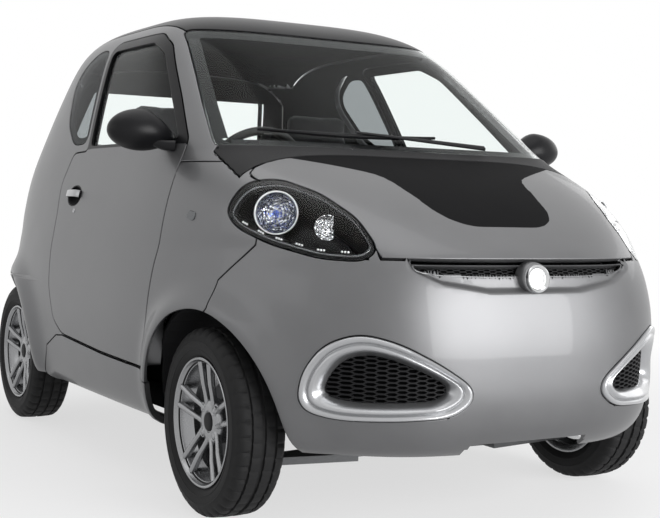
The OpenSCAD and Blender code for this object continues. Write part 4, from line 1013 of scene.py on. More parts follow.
def from_tail(curve, side=1):
    """A curve of the right side, counted from the tail's middle line, on the right or the left."""
    places, closed = curve
    return np.column_stack([side * (np.abs(places[:, 0]) - 2 * around_scale), places[:, 1]]), closed


bumper_side = side_curve([(rear_bumper_front_x, 0.20), (rear_bumper_front_x, rear_bumper_top_z)], False)
rear_bumper_sheet = cut_sheet(
    tail_lift, [*rear_levels, from_tail(arch_curve(rear_axle_x)),
                from_tail(arch_curve(rear_axle_x), -1), from_tail(bumper_side), from_tail(bumper_side, -1),
                tail_curve(tailgate_outline[tailgate_outline[:, 1] < 0.62], False)],
    lambda p: (in_rear_bumper(p) & (p[:, 2] > bumper_clearance) & ~in_arch(p, rear_axle_x)
               & ~in_tailgate(p)),
    (-1.6, 0.20), (1.6, 0.58), 0.016)
rear_bumper = press_panel("rear_bumper_skin", tail_lift, rear_bumper_sheet, 0.010)
fit(rear_bumper, "body", "silver_paint", [silver_paint], "rear_bumper")

# Grilles. Each lower opening has a broad satin bezel with a groove round it, and behind it a moulded
# honeycomb of flat cells; the upper slot under the bonnet holds the same mesh, finer.
bezel_silver = grained("bezel_silver", (0.40, 0.405, 0.415), 1500, 0.12, 0.30, 0.08, 0.03, Metallic=0.85,
                       Coat_Weight=0.6, Coat_Roughness=0.06)


def pick_out(piece):
    """Makes the piece the only selected and active one."""
    bpy.ops.object.select_all(action="DESELECT")
    piece.select_set(True)
    bpy.context.view_layer.objects.active = piece


def edit_all(piece):
    """Opens the piece's mesh with all of it selected."""
    pick_out(piece)
    bpy.ops.object.mode_set(mode="EDIT")
    bpy.ops.mesh.select_all(action="SELECT")


def face_out(piece, angle=40):
    """Merges doubles, turns the faces outwards and shades them smooth up to the angle."""
    edit_all(piece)
    bpy.ops.mesh.remove_doubles(threshold=1e-5)
    bpy.ops.mesh.normals_make_consistent(inside=False)
    bpy.ops.object.mode_set(mode="OBJECT")
    bpy.ops.object.shade_smooth_by_angle(angle=math.radians(angle))
    return piece


def from_points(name, points, edges, faces):
    """A piece from its points, edges and faces."""
    mesh = bpy.data.meshes.new(name)
    mesh.from_pydata([tuple(p) for p in points], edges, faces)
    piece = bpy.data.objects.new(name, mesh)
    scene.collection.objects.link(piece)
    return piece


def loft(name, loops, closed=False, angle=40):
    """Mesh through loops of equal count: the last joins the first if closed, otherwise both are capped."""
    count, size = len(loops), len(loops[0])
    faces = [(i * size + k, i * size + (k + 1) % size, (i + 1) % count * size + (k + 1) % size,
              (i + 1) % count * size + k)
             for i in range(count if closed else count - 1) for k in range(size)]
    if not closed:
        faces += [tuple(range(size)), tuple((count - 1) * size + k for k in range(size))]
    return face_out(from_points(name, np.concatenate(loops), [], faces), angle)


def skin_rings(places, steps, lift=wrap_lift):
    """Rings round a plane outline: each step is how far it is drawn in and stands off the skin."""
    rings = []
    for drawn_in, height in steps:
        ring = inner_outline(places, drawn_in)
        rings.append(lift(ring) + lift_normals(lift, ring) * height)
    return rings


grille_outer = finely(grille_outline)
grille_low, grille_high = grille_outer.min(0), grille_outer.max(0)
mesh_low, mesh_high = np.array([-0.571, 0.372]), np.array([-0.284, 0.499])
grille_inner = mesh_low + (grille_outer - grille_low) / (grille_high - grille_low) * (mesh_high - mesh_low)
bezel_steps = [
    (0.00, -0.008), (0.015, 0.004), (0.06, 0.0085), (0.14, 0.0105), (0.24, 0.009), (0.32, 0.0035),
    (0.37, 0.001), (0.42, 0.002), (0.49, 0.0065), (0.57, 0.0075), (0.65, 0.005), (0.80, -0.007),
    (1.0, -0.024), (1.0, -0.038), (0.55, -0.026), (0.0, -0.016)]
bezel_rings = []
for share, height in bezel_steps:
    ring = view_places("front", grille_outer * (1 - share) + grille_inner * share)
    bezel_rings.append(wrap_lift(ring) + lift_normals(wrap_lift, ring) * height)
bezel = loft("lower_grille_right_bezel", bezel_rings, closed=True, angle=50)
fit_pair(bezel, "body", "bezel_silver", [bezel_silver], "lower_grille_right")


def honeycomb(name, outline, cell, bar, depth, wall, lift):
    """Sheet of flat hexagonal cells inside an outline of the front view, sunk below the skin."""
    low, high = outline.min(0), outline.max(0)
    turns = np.array([(-0.5, 0), (-0.25, -0.5), (0.25, -0.5), (0.5, 0), (0.25, 0.5), (-0.25, 0.5)]) * cell
    shrink = 1 - bar / np.array(cell)
    spots, faces, sunk = [], [], []
    for column in range(int((high[0] - low[0]) / (0.75 * cell[0])) + 2):
        for row in range(int((high[1] - low[1]) / cell[1]) + 2):
            centre = low + [column * 0.75 * cell[0], (row + 0.5 * (column % 2)) * cell[1]]
            if not within(outline, centre[:1], centre[1:])[0]:
                continue
            first = len(spots)
            spots += list(centre + turns) + list(centre + turns * shrink) + list(centre + turns * shrink)
            sunk += [depth] * 12 + [depth + wall] * 6
            for k in range(6):
                q = (k + 1) % 6
                faces.append((first + k, first + q, first + 6 + q, first + 6 + k))
                faces.append((first + 6 + k, first + 6 + q, first + 12 + q, first + 12 + k))
    places = view_places("front", spots)
    points = lift(places) - lift_normals(wrap_lift, places) * np.array(sunk)[:, None]
    return face_out(from_points(name, points, [], faces), 30)


grille_mesh = honeycomb("lower_grille_right_mesh", inner_outline(grille_inner, -0.012), (0.034, 0.0125),
                        0.0042, 0.027, 0.008, wrap_lift)
fit_pair(grille_mesh, "body", "black_plastic", [black_plastic])
# Behind the honeycomb, a near-black matte sheet is painted shade for the dark space behind the grille.
shade_sheet_outline = inner_outline(grille_outer, 0.016)
grille_shade_sheet = press_panel(
    "lower_grille_right_back", wrap_lift,
    cut_sheet(wrap_lift, [(view_places("front", shade_sheet_outline), True)],
              lambda p: in_front(shade_sheet_outline, p), plane_at(-0.98, 0.30), plane_at(-0.1, 0.60), 0.025),
    0.003, sink=0.042)
fit_pair(grille_shade_sheet, "body", "black_plastic", [matte_film_and_painted_shade])

slot_mesh = honeycomb("upper_grille_mesh", inner_outline(finely(slot_outline), -0.004), (0.026, 0.0105),
                      0.0034, 0.014, 0.007, bumper_lift)
fit(slot_mesh, "body", "black_plastic", [black_plastic], "upper_grille")
# Behind the slot's mesh, a near-black matte sheet is painted shade for the dark space behind the slot.
slot_wide = inner_outline(finely(slot_outline), -0.006)
slot_shade_sheet = press_panel(
    "upper_grille_back", bumper_lift,
    cut_sheet(bumper_lift, [front_curve(slot_wide)], lambda p: in_front(slot_wide, p), plane_at(-0.8, 0.68),
              plane_at(0.8, 0.78), 0.02), 0.003, sink=0.028)
fit(slot_shade_sheet, "body", "black_plastic", [matte_film_and_painted_shade])
slot_rim = loft("upper_grille_rim", skin_rings(
    view_places("front", finely(slot_outline)),
    [(-0.002, -0.004), (0.000, 0.0012), (0.002, 0.0018), (0.0035, 0.0), (0.0035, -0.020), (-0.002, -0.020)],
    bumper_lift), closed=True)
fit(slot_rim, "body", "silver_paint", [silver_paint])

# Badge. A blank disc, turned and chromed, with a raised rim, on a low painted cone in the middle of
# the slot.
badge_chrome = grained("badge_chrome", (0.62, 0.625, 0.63), 700, 0.08, 0.12, 0.06, 0.02, Metallic=1.0)


def turned(name, profile, place, axis, steps=48, angle=40):
    """Profile of (radius, along) spun about the axis through the place."""
    closed = min(r for r, _ in profile) > 0
    edges = [(i, i + 1) for i in range(len(profile) - 1)] + ([(len(profile) - 1, 0)] if closed else [])
    piece = from_points(name, [(r, 0, a) for r, a in profile], edges, [])
    edit_all(piece)
    bpy.ops.mesh.spin(steps=steps, angle=2 * math.pi, center=(0, 0, 0), axis=(0, 0, 1))
    bpy.ops.object.mode_set(mode="OBJECT")
    face_out(piece, angle)
    lean = Vector(axis).to_track_quat("Z", "Y").to_matrix().to_4x4()
    piece.data.transform(Matrix.Translation(place) @ lean)
    return piece


badge_place, badge_lean = (1.3466, 0, 0.698), math.radians(84)
badge_axis = (math.sin(badge_lean), 0, math.cos(badge_lean))
badge = turned("badge_disc", [
    (0, 0.0030), (0.022, 0.0026), (0.0275, 0.0020), (0.0290, 0.0032), (0.0315, 0.0078), (0.0345, 0.0092),
    (0.0370, 0.0078), (0.0383, 0.0040), (0.0383, -0.001), (0, -0.001)], badge_place, badge_axis, 72)
fit(badge, "body", "badge_chrome", [badge_chrome], "badge")
badge_boss = turned("badge_boss", [(0, -0.0012), (0.0400, -0.0012), (0.0425, -0.0030), (0.0450, -0.0085),
                                   (0.0500, -0.034), (0, -0.034)], badge_place, badge_axis, 72)
fit(badge_boss, "body", "silver_paint", [silver_paint])

# Head lamps. A clear moulded cover over a black bowl that holds a chromed reflector with a white ring,
# a small dimpled turn lamp and six groups of three daytime lights along the lower edge.
lamp_black = grained("lamp_bowl_black", (0.005, 0.005, 0.0055), 1400, 0.2, 0.30, 0.08, 0.03,
                     Specular_IOR_Level=0.12)
clear_cover = glass_material("clear_cover", (0.97, 0.98, 0.98), 0.01, 1.12)
ring_white = grained("lamp_ring_white", (0.86, 0.87, 0.88), 900, 0.04, 0.18, 0.04, 0.01, Coat_Weight=1.0)
bulb_blue = glass_material("bulb_blue", (0.25, 0.35, 0.95), 0.03)
line_grey = grained("lamp_line_grey", (0.13, 0.135, 0.14), 900, 0.08, 0.24, 0.05, 0.02, Metallic=0.8)


def dimpled_chrome_painted_glints(name, scale):
    """Chrome pressed in small facets; each facet's tone, from near black to bright, is a painted
    reflection.
    """
    material, cells = textured(name, "TexVoronoi", scale, "Distance", 0.8, 0.004, Metallic=1.0,
                               Roughness=0.10)
    nodes, links = material.node_tree.nodes, material.node_tree.links
    # Painted reflection: each facet gets a random tone from near black to bright chrome, for the light each
    # one would catch.
    painted_glints = nodes.new("ShaderNodeValToRGB")
    painted_glints.color_ramp.elements[0].color = (0.05, 0.05, 0.055, 1)
    painted_glints.color_ramp.elements[1].color = (0.72, 0.73, 0.75, 1)
    links.new(cells.outputs["Color"], painted_glints.inputs["Fac"])
    links.new(painted_glints.outputs["Color"], nodes["Principled BSDF"].inputs["Base Color"])
    return material


reflector_chrome = dimpled_chrome_painted_glints("reflector_chrome", 110)
turn_lamp_chrome = dimpled_chrome_painted_glints("turn_lamp_chrome", 190)
lamp_sheet = cut_sheet(wrap_lift, [lamp_curve], lambda p: in_lamp(p) & (p[:, 1] < 0),
                       plane_at(-0.98, 0.72), plane_at(-0.2, 0.97), 0.016)
lamp_cover = press_panel("head_lens_right_cover", wrap_lift, lamp_sheet, 0.003, gap=0.003, edge=0.0012)
fit_pair(lamp_cover, "body", "clear_lens", [clear_cover], "head_lens_right")
lamp_floor = press_panel("head_lamp_right_floor", wrap_lift, lamp_sheet, 0.003, gap=0.030, sink=0.088)
fit_pair(lamp_floor, "body", "lamp_housing", [lamp_black], "head_lamp_right")
lamp_rim = loft("head_lamp_right_rim", skin_rings(lamp_places, [
    (0.0025, -0.0045), (0.009, -0.0050), (0.016, -0.0075), (0.020, -0.013), (0.022, -0.092),
    (0.0025, -0.092)]), closed=True)
fit_pair(lamp_rim, "body", "lamp_housing", [lamp_black])
lamp_line = loft("head_lamp_right_line", skin_rings(lamp_places, [
    (0.0115, -0.0060), (0.0135, -0.0048), (0.0155, -0.0062), (0.0135, -0.0085)]), closed=True)
fit_pair(lamp_line, "body", "lamp_housing", [line_grey])
lamp_facing = Vector((0.88, -0.46, 0.07)).normalized()
main_place = Vector((0.947, -0.586, 0.857))
reflector = turned("head_lamp_right_reflector", [
    (0, -0.040), (0.019, -0.038), (0.038, -0.027), (0.052, -0.010), (0.056, 0.0), (0.059, 0.0),
    (0.059, -0.010), (0.041, -0.034), (0.019, -0.044), (0, -0.046)], main_place, lamp_facing, 56)
fit_pair(reflector, "body", "lamp_housing", [reflector_chrome])
lamp_ring = turned("head_lamp_right_ring", [
    (0.0555, -0.002), (0.0565, 0.0035), (0.0590, 0.0048), (0.0610, 0.0020), (0.0610, -0.004)],
    main_place, lamp_facing, 64)
fit_pair(lamp_ring, "body", "lamp_housing", [ring_white])
bulb = turned("head_lamp_right_bulb", [
    (0, -0.004), (0.005, -0.0055), (0.0085, -0.011), (0.009, -0.018), (0.0065, -0.026), (0.0065, -0.040),
    (0, -0.040)], main_place, lamp_facing, 24)
fit_pair(bulb, "body", "lamp_housing", [bulb_blue])
turn_place = Vector((1.096, -0.510, 0.822))
turn_lamp = turned("head_lamp_right_turn_lamp", [
    (0, -0.012), (0.017, -0.010), (0.028, -0.004), (0.032, 0.001), (0.0345, 0.001), (0.0345, -0.006),
    (0.019, -0.018), (0, -0.020)], turn_place, lamp_facing, 40)
edit_all(turn_lamp)
turn_side = lamp_facing.cross(Vector((0, 0, -1))).normalized()
bpy.ops.mesh.bisect(plane_co=turn_place + turn_side * 0.016, plane_no=turn_side, use_fill=True,
                    clear_outer=True)
bpy.ops.object.mode_set(mode="OBJECT")
fit_pair(turn_lamp, "body", "lamp_housing", [turn_lamp_chrome])
light_line = shared([(0.088, 0.533), (0.185, 0.498), (0.300, 0.477), (0.375, 0.475)])
light_path = view_places("corner", finely(light_line, 0.004, closed=False)) + [0, 0.024]
light_points = wrap_lift(light_path) - lift_normals(wrap_lift, light_path) * 0.0065
run = np.concatenate([[0], np.cumsum(np.linalg.norm(np.diff(light_points, axis=0), axis=1))])
dots = []
for group in range(6):
    for k in (-1, 0, 1):
        at = run[-1] * (group + 1.15) / 6.6 + 0.0085 * k
        dots.append([np.interp(at, run, light_points[:, axis]) for axis in range(3)])
bpy.ops.object.select_all(action="DESELECT")
for k, place in enumerate(dots):
    bpy.ops.mesh.primitive_ico_sphere_add(subdivisions=2, radius=0.0034, location=place)
    bpy.context.object.name = f"day_light_{k}"
for k in range(len(dots)):
    bpy.data.objects[f"day_light_{k}"].select_set(True)
bpy.context.view_layer.objects.active = bpy.data.objects["day_light_0"]
bpy.ops.object.join()
day_lights = bpy.context.object
day_lights.name = "head_lamp_right_day_lights"
bpy.ops.object.transform_apply(location=True, rotation=True, scale=True)
fit_pair(day_lights, "body", "lamp_housing", [ring_white])

# Mirrors. A moulded satin black shell, cut flat behind for the silvered glass, on a short foot that
# stands on the door at the window's front corner.
mirror_black = grained("mirror_black", (0.007, 0.007, 0.008), 1500, 0.2, 0.36, 0.08, 0.06,
                       Specular_IOR_Level=0.18)
mirror_silver = grained("mirror_glass", (0.72, 0.74, 0.76), 300, 0.03, 0.04, 0.02, 0.0, Metallic=1.0)
mirror_middle, mirror_half = np.array([0.380, -0.7585, 1.092]), np.array([0.064, 0.106, 0.063])
bpy.ops.object.select_all(action="DESELECT")
bpy.ops.mesh.primitive_uv_sphere_add(segments=48, ring_count=28, radius=1)
mirror = bpy.context.object
mirror.name = "mirror_right_shell"
for vertex in mirror.data.vertices:
    x, y, z = vertex.co
    inner = max(0.0, y) ** 1.5
    vertex.co = mirror_middle + mirror_half * [
        (x + 0.25 * inner) * (1 - 0.45 * inner), y,
        z * (1 - 0.40 * inner) * (1.06 if z > 0 else 0.96) - 0.30 * inner]
edit_all(mirror)
bpy.ops.mesh.bisect(plane_co=(mirror_middle[0] - 0.030, 0, 0), plane_no=(1, 0, 0), use_fill=True,
                    clear_inner=True)
bpy.ops.object.mode_set(mode="OBJECT")
back_face = max((f for f in mirror.data.polygons if f.normal.x < -0.95), key=lambda f: f.area)
for face in mirror.data.polygons:
    face.select = face.index == back_face.index
bpy.ops.object.mode_set(mode="EDIT")
bpy.ops.mesh.select_mode(type="FACE")
bpy.ops.mesh.inset(thickness=0.006)
bpy.ops.mesh.extrude_region_move(TRANSFORM_OT_translate={"value": (0.007, 0, 0)})
bpy.ops.object.mode_set(mode="OBJECT")
mirror.data.materials.append(mirror_black)
mirror.data.materials.append(mirror_silver)
for face in mirror.data.polygons:
    if face.select and face.normal.x < -0.9:
        face.material_index = 1
bpy.ops.object.shade_smooth_by_angle(angle=math.radians(35))
fit_pair(mirror, "door_right", "black_plastic", [], "mirror_right")


def sweep(name, path, ups, section, sizes=None, angle=50):
    """Bar with a section of (aside, up) along an open path; sizes scales it from point to point."""
    path, ups = np.asarray(path, float), np.asarray(ups, float) * np.ones((len(path), 1))
    ahead = np.gradient(path, axis=0)
    aside = np.cross(ahead, ups)
    aside /= np.linalg.norm(aside, axis=1)[:, None]
    above = np.cross(aside, ahead)
    above /= np.linalg.norm(above, axis=1)[:, None]
    sizes = np.ones(len(path)) if sizes is None else np.asarray(sizes)
    return loft(name, [[p + size * (a * s + b * u) for a, b in section]
                       for p, s, u, size in zip(path, aside, above, sizes)], angle=angle)


def rounded_section(wide, high, corners=4):
    """Rounded rectangle of a bar."""
    radius = min(wide, high) * 0.42
    rows = []
    for k, (a, b) in enumerate(((1, 1), (-1, 1), (-1, -1), (1, -1))):
        for t in np.linspace(0, math.pi / 2, corners):
            rows.append((a * (wide / 2 - radius) + radius * math.cos(t + k * math.pi / 2),
                         b * (high / 2 - radius) + radius * math.sin(t + k * math.pi / 2)))
    return rows


foot_path = [(0.404, -0.735, 1.062), (0.410, -0.715, 1.055), (0.417, -0.695, 1.050), (0.424, -0.668, 1.048)]
mirror_foot = sweep("mirror_right_foot", foot_path, (0, 0, 1), rounded_section(0.052, 0.030),
                    [0.8, 0.9, 1.0, 1.15])
fit_pair(mirror_foot, "door_right", "black_plastic", [mirror_black])

# Door handles. A black dished cup let into the door skin, a pull in bright painted metal that bridges
# it, and a small turned lock below.
handle_silver = grained("handle_silver", (0.33, 0.335, 0.345), 1500, 0.12, 0.30, 0.08, 0.03, Metallic=0.85,
                        Coat_Weight=0.8, Coat_Roughness=0.05)


def cup_lift(plane):
    """The skin with the cup's hollow in it."""
    bare = wrap_lift(plane)
    reach = ((bare[:, 0] - handle_x) / handle_long) ** 2 + ((bare[:, 2] - handle_z) / handle_high) ** 2
    return bare - lift_normals(wrap_lift, plane) * (0.022 * np.clip(1 - reach, 0, 1) ** 0.7)[:, None]


handle_cup = press_panel("door_right_handle_cup", cup_lift, cut_sheet(
    wrap_lift, [side_curve(handle_outline)], lambda p: in_side(handle_outline, p) & (p[:, 1] < 0),
    plane_at(-1.4, 0.84), plane_at(-1.0, 0.94), 0.008), 0.003, gap=0.001, edge=0.0008)
fit_pair(handle_cup, "door_right", "silver_paint", [black_gloss])
pull_half = 0.062
pull_x = np.linspace(handle_x - pull_half, handle_x + pull_half, 17)
pull_places = view_places("side", np.column_stack([pull_x, np.full(17, handle_z + 0.006)]))
pull_rise = 0.003 + 0.011 * (1 - ((pull_x - handle_x) / pull_half) ** 4)
pull_normals = lift_normals(wrap_lift, pull_places)
pull = sweep("door_right_handle_pull", wrap_lift(pull_places) + pull_normals * pull_rise[:, None],
             pull_normals, rounded_section(0.025, 0.010))
fit_pair(pull, "door_right", "silver_paint", [handle_silver])
lock_place = view_places("side", [(handle_x + 0.030, handle_z - 0.052)])
lock = turned("door_right_lock", [
    (0, 0.0012), (0.0035, 0.0012), (0.0042, 0.0022), (0.0075, 0.0020), (0.0085, 0.0005), (0.0085, -0.004),
    (0, -0.004)], wrap_lift(lock_place)[0], lift_normals(wrap_lift, lock_place)[0], 24)
fit_pair(lock, "door_right", "silver_paint", [handle_silver])

# Side repeaters. Small turn lamps with a smoked grey moulded lens, pushed into the wings ahead of the
# doors and standing a little proud of them.
repeater_outline = rounded_outline([(0.640, 0.832), (0.682, 0.826), (0.688, 0.852), (0.646, 0.858)], 0.012)
repeater = press_panel("wing_right_repeater", wrap_lift, cut_sheet(
    wrap_lift, [side_curve(repeater_outline)], lambda p: in_side(repeater_outline, p),
    plane_at(-0.98, 0.80), plane_at(-0.5, 0.90), 0.008), 0.006, gap=0.0005, edge=0.0022, sink=-0.003)
fit_pair(repeater, "body", "lamp_housing", [line_grey])

# Wiper. One sprung arm in black painted steel with a rubber blade, parked along the foot of the
# windscreen; the arm's foot stands over the cowl.
wiper_black = grained("wiper_black", (0.006, 0.006, 0.007), 1200, 0.2, 0.45, 0.1, 0.1,
                      Specular_IOR_Level=0.15)
blade_line = np.column_stack([np.linspace(-0.50, 0.10, 25),
                              1.084 + 0.022 * np.linspace(-1, 1, 25) ** 2 * 0.4])
blade_places = view_places("front", blade_line)
blade_normals = lift_normals(wrap_lift, blade_places)
blade = sweep("wiper_blade", wrap_lift(blade_places) + blade_normals * 0.009, blade_normals,
              rounded_section(0.012, 0.014), 0.55 + 0.45 * np.sin(np.linspace(0.15, math.pi - 0.15, 25)))
fit(blade, "body", "black_plastic", [wiper_black])
arm_line = np.column_stack([np.linspace(0.26, -0.20, 15), np.linspace(1.062, 1.086, 15)])
arm_places = view_places("front", arm_line)
arm_normals = lift_normals(wrap_lift, arm_places)
arm_rise = np.linspace(0.014, 0.021, 15)[:, None]
arm = sweep("wiper_arm", wrap_lift(arm_places) + arm_normals * arm_rise, arm_normals,
            rounded_section(0.016, 0.009), np.linspace(1.2, 0.6, 15))
fit(arm, "body", "black_plastic", [wiper_black])

# Tail. The rear pane is bonded into the tailgate over a fired band; each tail lamp is a ribbed red lens
# over a bright reflector tray, let into the corner beside the tailgate.
glaze("rear_glass_pane", "rear_glass", "tailgate", tail_curve, rear_glass_outline, in_rear_glass,
      (-1.0, 1.05), (1.0, 1.42), 0.022, 0.002, tinted_glass, 1, tail_lift)

red_lens, lens_ribs = textured("red_lens", "TexWave", 38, "Fac", 0.5, 0.002, Roughness=0.08, IOR=1.3,
                               Base_Color=(0.42, 0.012, 0.014, 1), Transmission_Weight=0.55)
lens_ribs.bands_direction = "Z"
tail_lamp_sheet = cut_sheet(
    wrap_lift, [rear_curve(tail_lamp_outline)], in_tail_lamp, plane_at(-1.985, 0.76),
    plane_at(-1.05, 1.05), 0.014)
tail_lens = press_panel("tail_lamp_right_lens", wrap_lift, tail_lamp_sheet, 0.006, gap=0.003)
fit_pair(tail_lens, "body", "red_lens", [red_lens], "tail_lamp_right")
tail_tray = press_panel("tail_lamp_right_tray", wrap_lift, tail_lamp_sheet, 0.003, gap=0.010, sink=0.018)
fit_pair(tail_tray, "body", "lamp_housing", [reflector_chrome])

# Wheels. Cast in one piece of alloy: a machined barrel and lip, five pairs of slim spokes that spread
# towards the rim, four bolts in recesses round a dark centre cap.
wheel_alloy = grained("wheel_alloy", (0.30, 0.303, 0.31), 900, 0.12, 0.26, 0.08, 0.03, Metallic=0.9)
wheel_side, spoke_pairs, bolt_circle = 0.660, 5, 0.050
wheel_middle, wheel_axis = (0, 0, 0), (0, 0, 1)
rim = turned("wheel_rim", [
    (0.1825, 0.0685), (0.1825, 0.063), (0.1730, 0.0560), (0.1665, 0.042), (0.1505, 0.026), (0.1505, -0.030),
    (0.1665, -0.044), (0.1665, -0.059), (0.1825, -0.063), (0.1825, -0.070), (0.1755, -0.070),
    (0.1595, -0.061), (0.1595, -0.042), (0.1435, -0.028), (0.1435, 0.022), (0.1605, 0.038), (0.1640, 0.048),
    (0.1655, 0.0540), (0.1690, 0.0560), (0.1715, 0.0590), (0.1755, 0.0685), (0.1800, 0.0700)],
    wheel_middle, wheel_axis, 96, 30)
hub = turned("wheel_hub", [
    (0, 0.0400), (0.029, 0.0400), (0.031, 0.0425), (0.040, 0.0428), (0.056, 0.0405), (0.063, 0.0350),
    (0.065, 0.026), (0.065, 0.0105), (0, 0.0105)], wheel_middle, wheel_axis, 72)
spokes = []
for pair in range(spoke_pairs):
    for side in (-1, 1):
        reach = np.linspace(0.040, 0.1680, 12)
        spread = side * np.interp(reach, [0.040, 0.080, 0.130, 0.1680], [0.0205, 0.0225, 0.0250, 0.0290])
        height = np.interp(reach, [0.040, 0.060, 0.110, 0.1680], [0.0310, 0.0345, 0.0455, 0.0525])
        turn = 2 * math.pi * pair / spoke_pairs + math.pi / 2
        path = np.column_stack([reach * math.cos(turn) - spread * math.sin(turn),
                                reach * math.sin(turn) + spread * math.cos(turn), height])
        spokes.append(sweep(f"wheel_spoke_{pair}_{side}", path, wheel_axis, rounded_section(0.0165, 0.0200),
                            np.interp(reach, [0.040, 0.080, 0.1680], [1.10, 0.92, 1.15])))
bolts = []
for k in range(4):
    turn = math.radians(45 + 90 * k)
    place = (bolt_circle * math.cos(turn), bolt_circle * math.sin(turn), 0)
    bolts.append(turned(f"wheel_bolt_{k}", [
        (0, 0.0445), (0.0050, 0.0445), (0.0090, 0.0425), (0.0095, 0.036), (0.0095, 0.030), (0, 0.030)],
        place, wheel_axis, 6, 20))
    bolts.append(turned(f"wheel_recess_{k}", [
        (0.0105, 0.0424), (0.0125, 0.0436), (0.0145, 0.0424), (0.0145, 0.036), (0.0105, 0.036)],
        place, wheel_axis, 24))
cap = turned("wheel_cap", [
    (0, 0.0470), (0.018, 0.0462), (0.025, 0.0440), (0.027, 0.0410), (0.027, 0.0390), (0, 0.0390)],
    wheel_middle, wheel_axis, 48)
for piece in [rim, hub] + spokes + bolts:
    piece.data.materials.append(wheel_alloy)
cap.data.materials.append(black_plastic)
pick_out(rim)
for piece in [hub, cap] + spokes + bolts:
    piece.select_set(True)
bpy.ops.object.join()


def wheel_place(axle, side):
    """Where a wheel drawn round Z goes: its outer face to the right or left of the car."""
    upright = Matrix.Rotation(-side * math.pi / 2, 4, "X")
    return Matrix.Translation((axle, side * wheel_side, axle_height)) @ upright


def set_wheels(model, kind, slot):
    """Four copies of a wheel piece, each with its own mesh, in place of the CAD ones."""
    for end, axle in (("front", front_axle_x), ("rear", rear_axle_x)):
        for hand, side in (("right", -1), ("left", 1)):
            copy = model.copy()
            copy.data = model.data.copy()
            copy.name = f"{kind}_{end}_{hand}_dressed"
            scene.collection.objects.link(copy)
            copy.data.transform(wheel_place(axle, side))
            fit(copy, f"wheel_{end}_{hand}", slot, [], f"{kind}_{end}_{hand}")
    bpy.data.objects.remove(model)


set_wheels(rim, "wheel", "wheel_alloy")

# Tyres. Moulded rubber: a plain sidewall with two fine ridges, three grooves round the tread, and cross
# grooves that part the shoulders and the middle ribs into blocks.
tyre_rubber = grained("tyre_rubber", (0.013, 0.013, 0.0135), 700, 0.3, 0.72, 0.12, 0.3,
                      Specular_IOR_Level=0.25)
tyre_half = [
    (0.1672, 0.0440), (0.1672, 0.0580), (0.1800, 0.0600), (0.1840, 0.0625), (0.1955, 0.0728),
    (0.2020, 0.0752), (0.2030, 0.0768), (0.2055, 0.0768), (0.2065, 0.0760), (0.2175, 0.0775),
    (0.2260, 0.0768), (0.2270, 0.0776), (0.2285, 0.0774), (0.2295, 0.0764), (0.2420, 0.0735),
    (0.2530, 0.0680), (0.2600, 0.0615), (0.2630, 0.0560), (0.2642, 0.0480), (0.2646, 0.0400),
    (0.2585, 0.0385), (0.2585, 0.0335), (0.2650, 0.0320), (0.2655, 0.0240), (0.2658, 0.0150),
    (0.2658, 0.0065), (0.2590, 0.0050)]
tyre_inside = [(0.2500, 0.0300), (0.2400, 0.0620), (0.2175, 0.0680), (0.1930, 0.0600)]
tyre_loop = np.array(tyre_half + [(r, -a) for r, a in tyre_half[::-1]]
                     + [(r, -a) for r, a in tyre_inside[::-1]] + tyre_inside)
tyre_steps, block_steps = 200, 5
shoulder_cut, rib_cut = 0.0052, 0.0030
tyre_loops = []
for k in range(tyre_steps):
    loop = tyre_loop.copy()
    shoulder = (np.abs(loop[:, 1]) > 0.039) & (loop[:, 0] > 0.2525)
    rib = (np.abs(loop[:, 1]) < 0.033) & (np.abs(loop[:, 1]) > 0.006) & (loop[:, 0] > 0.262)
    if k % block_steps == 0:
        loop[shoulder & (loop[:, 1] > 0), 0] -= shoulder_cut
    if k % block_steps == 2:
        loop[shoulder & (loop[:, 1] < 0), 0] -= shoulder_cut
    if k % block_steps == 3:
        loop[rib, 0] -= rib_cut
    turn = 2 * math.pi * k / tyre_steps
    tyre_loops.append(np.column_stack([loop[:, 0] * math.cos(turn), loop[:, 0] * math.sin(turn),
                                       loop[:, 1]]))
tyre = loft("tyre_model", tyre_loops, closed=True, angle=32)
tyre.data.materials.append(tyre_rubber)
set_wheels(tyre, "tyre", "tyre_rubber")

# Dashboard. Grained moulding from door to door with rounded edges, a hooded dial housing before the
# driver and three round air vents; the steering wheel behind it is trimmed in leather.
dash_grain = grained("dashboard_grain", (0.011, 0.011, 0.012), 520, 0.3, 0.62, 0.12, 0.35,
                     Specular_IOR_Level=0.25)
leather = grained("wheel_leather", (0.012, 0.012, 0.012), 360, 0.3, 0.48, 0.12, 0.45,
                  Specular_IOR_Level=0.3)
dashboard = frame["nodes"]["dashboard"].copy()
dashboard.data = dashboard.data.copy()
dashboard.name = "dashboard_moulding"
dashboard.parent = None
dashboard.matrix_world = Matrix()
dashboard.data.materials.clear()
scene.collection.objects.link(dashboard)
pick_out(dashboard)
bpy.ops.mesh.customdata_custom_splitnormals_clear()
edit_all(dashboard)
bpy.ops.mesh.remove_doubles(threshold=1e-4)
bpy.ops.mesh.dissolve_limited(angle_limit=math.radians(3))
bpy.ops.object.mode_set(mode="OBJECT")
soften = dashboard.modifiers.new("soft_edges", "BEVEL")
soften.width, soften.segments, soften.angle_limit = 0.010, 3, math.radians(25)
bpy.ops.object.modifier_apply(modifier=soften.name)
bpy.ops.object.shade_smooth_by_angle(angle=math.radians(45))
fit(dashboard, "body", "black_plastic", [dash_grain], "dashboard")
driver_side = -0.325
hood_turns = np.linspace(0.06 * math.pi, 0.94 * math.pi, 19)
hood_loops = []
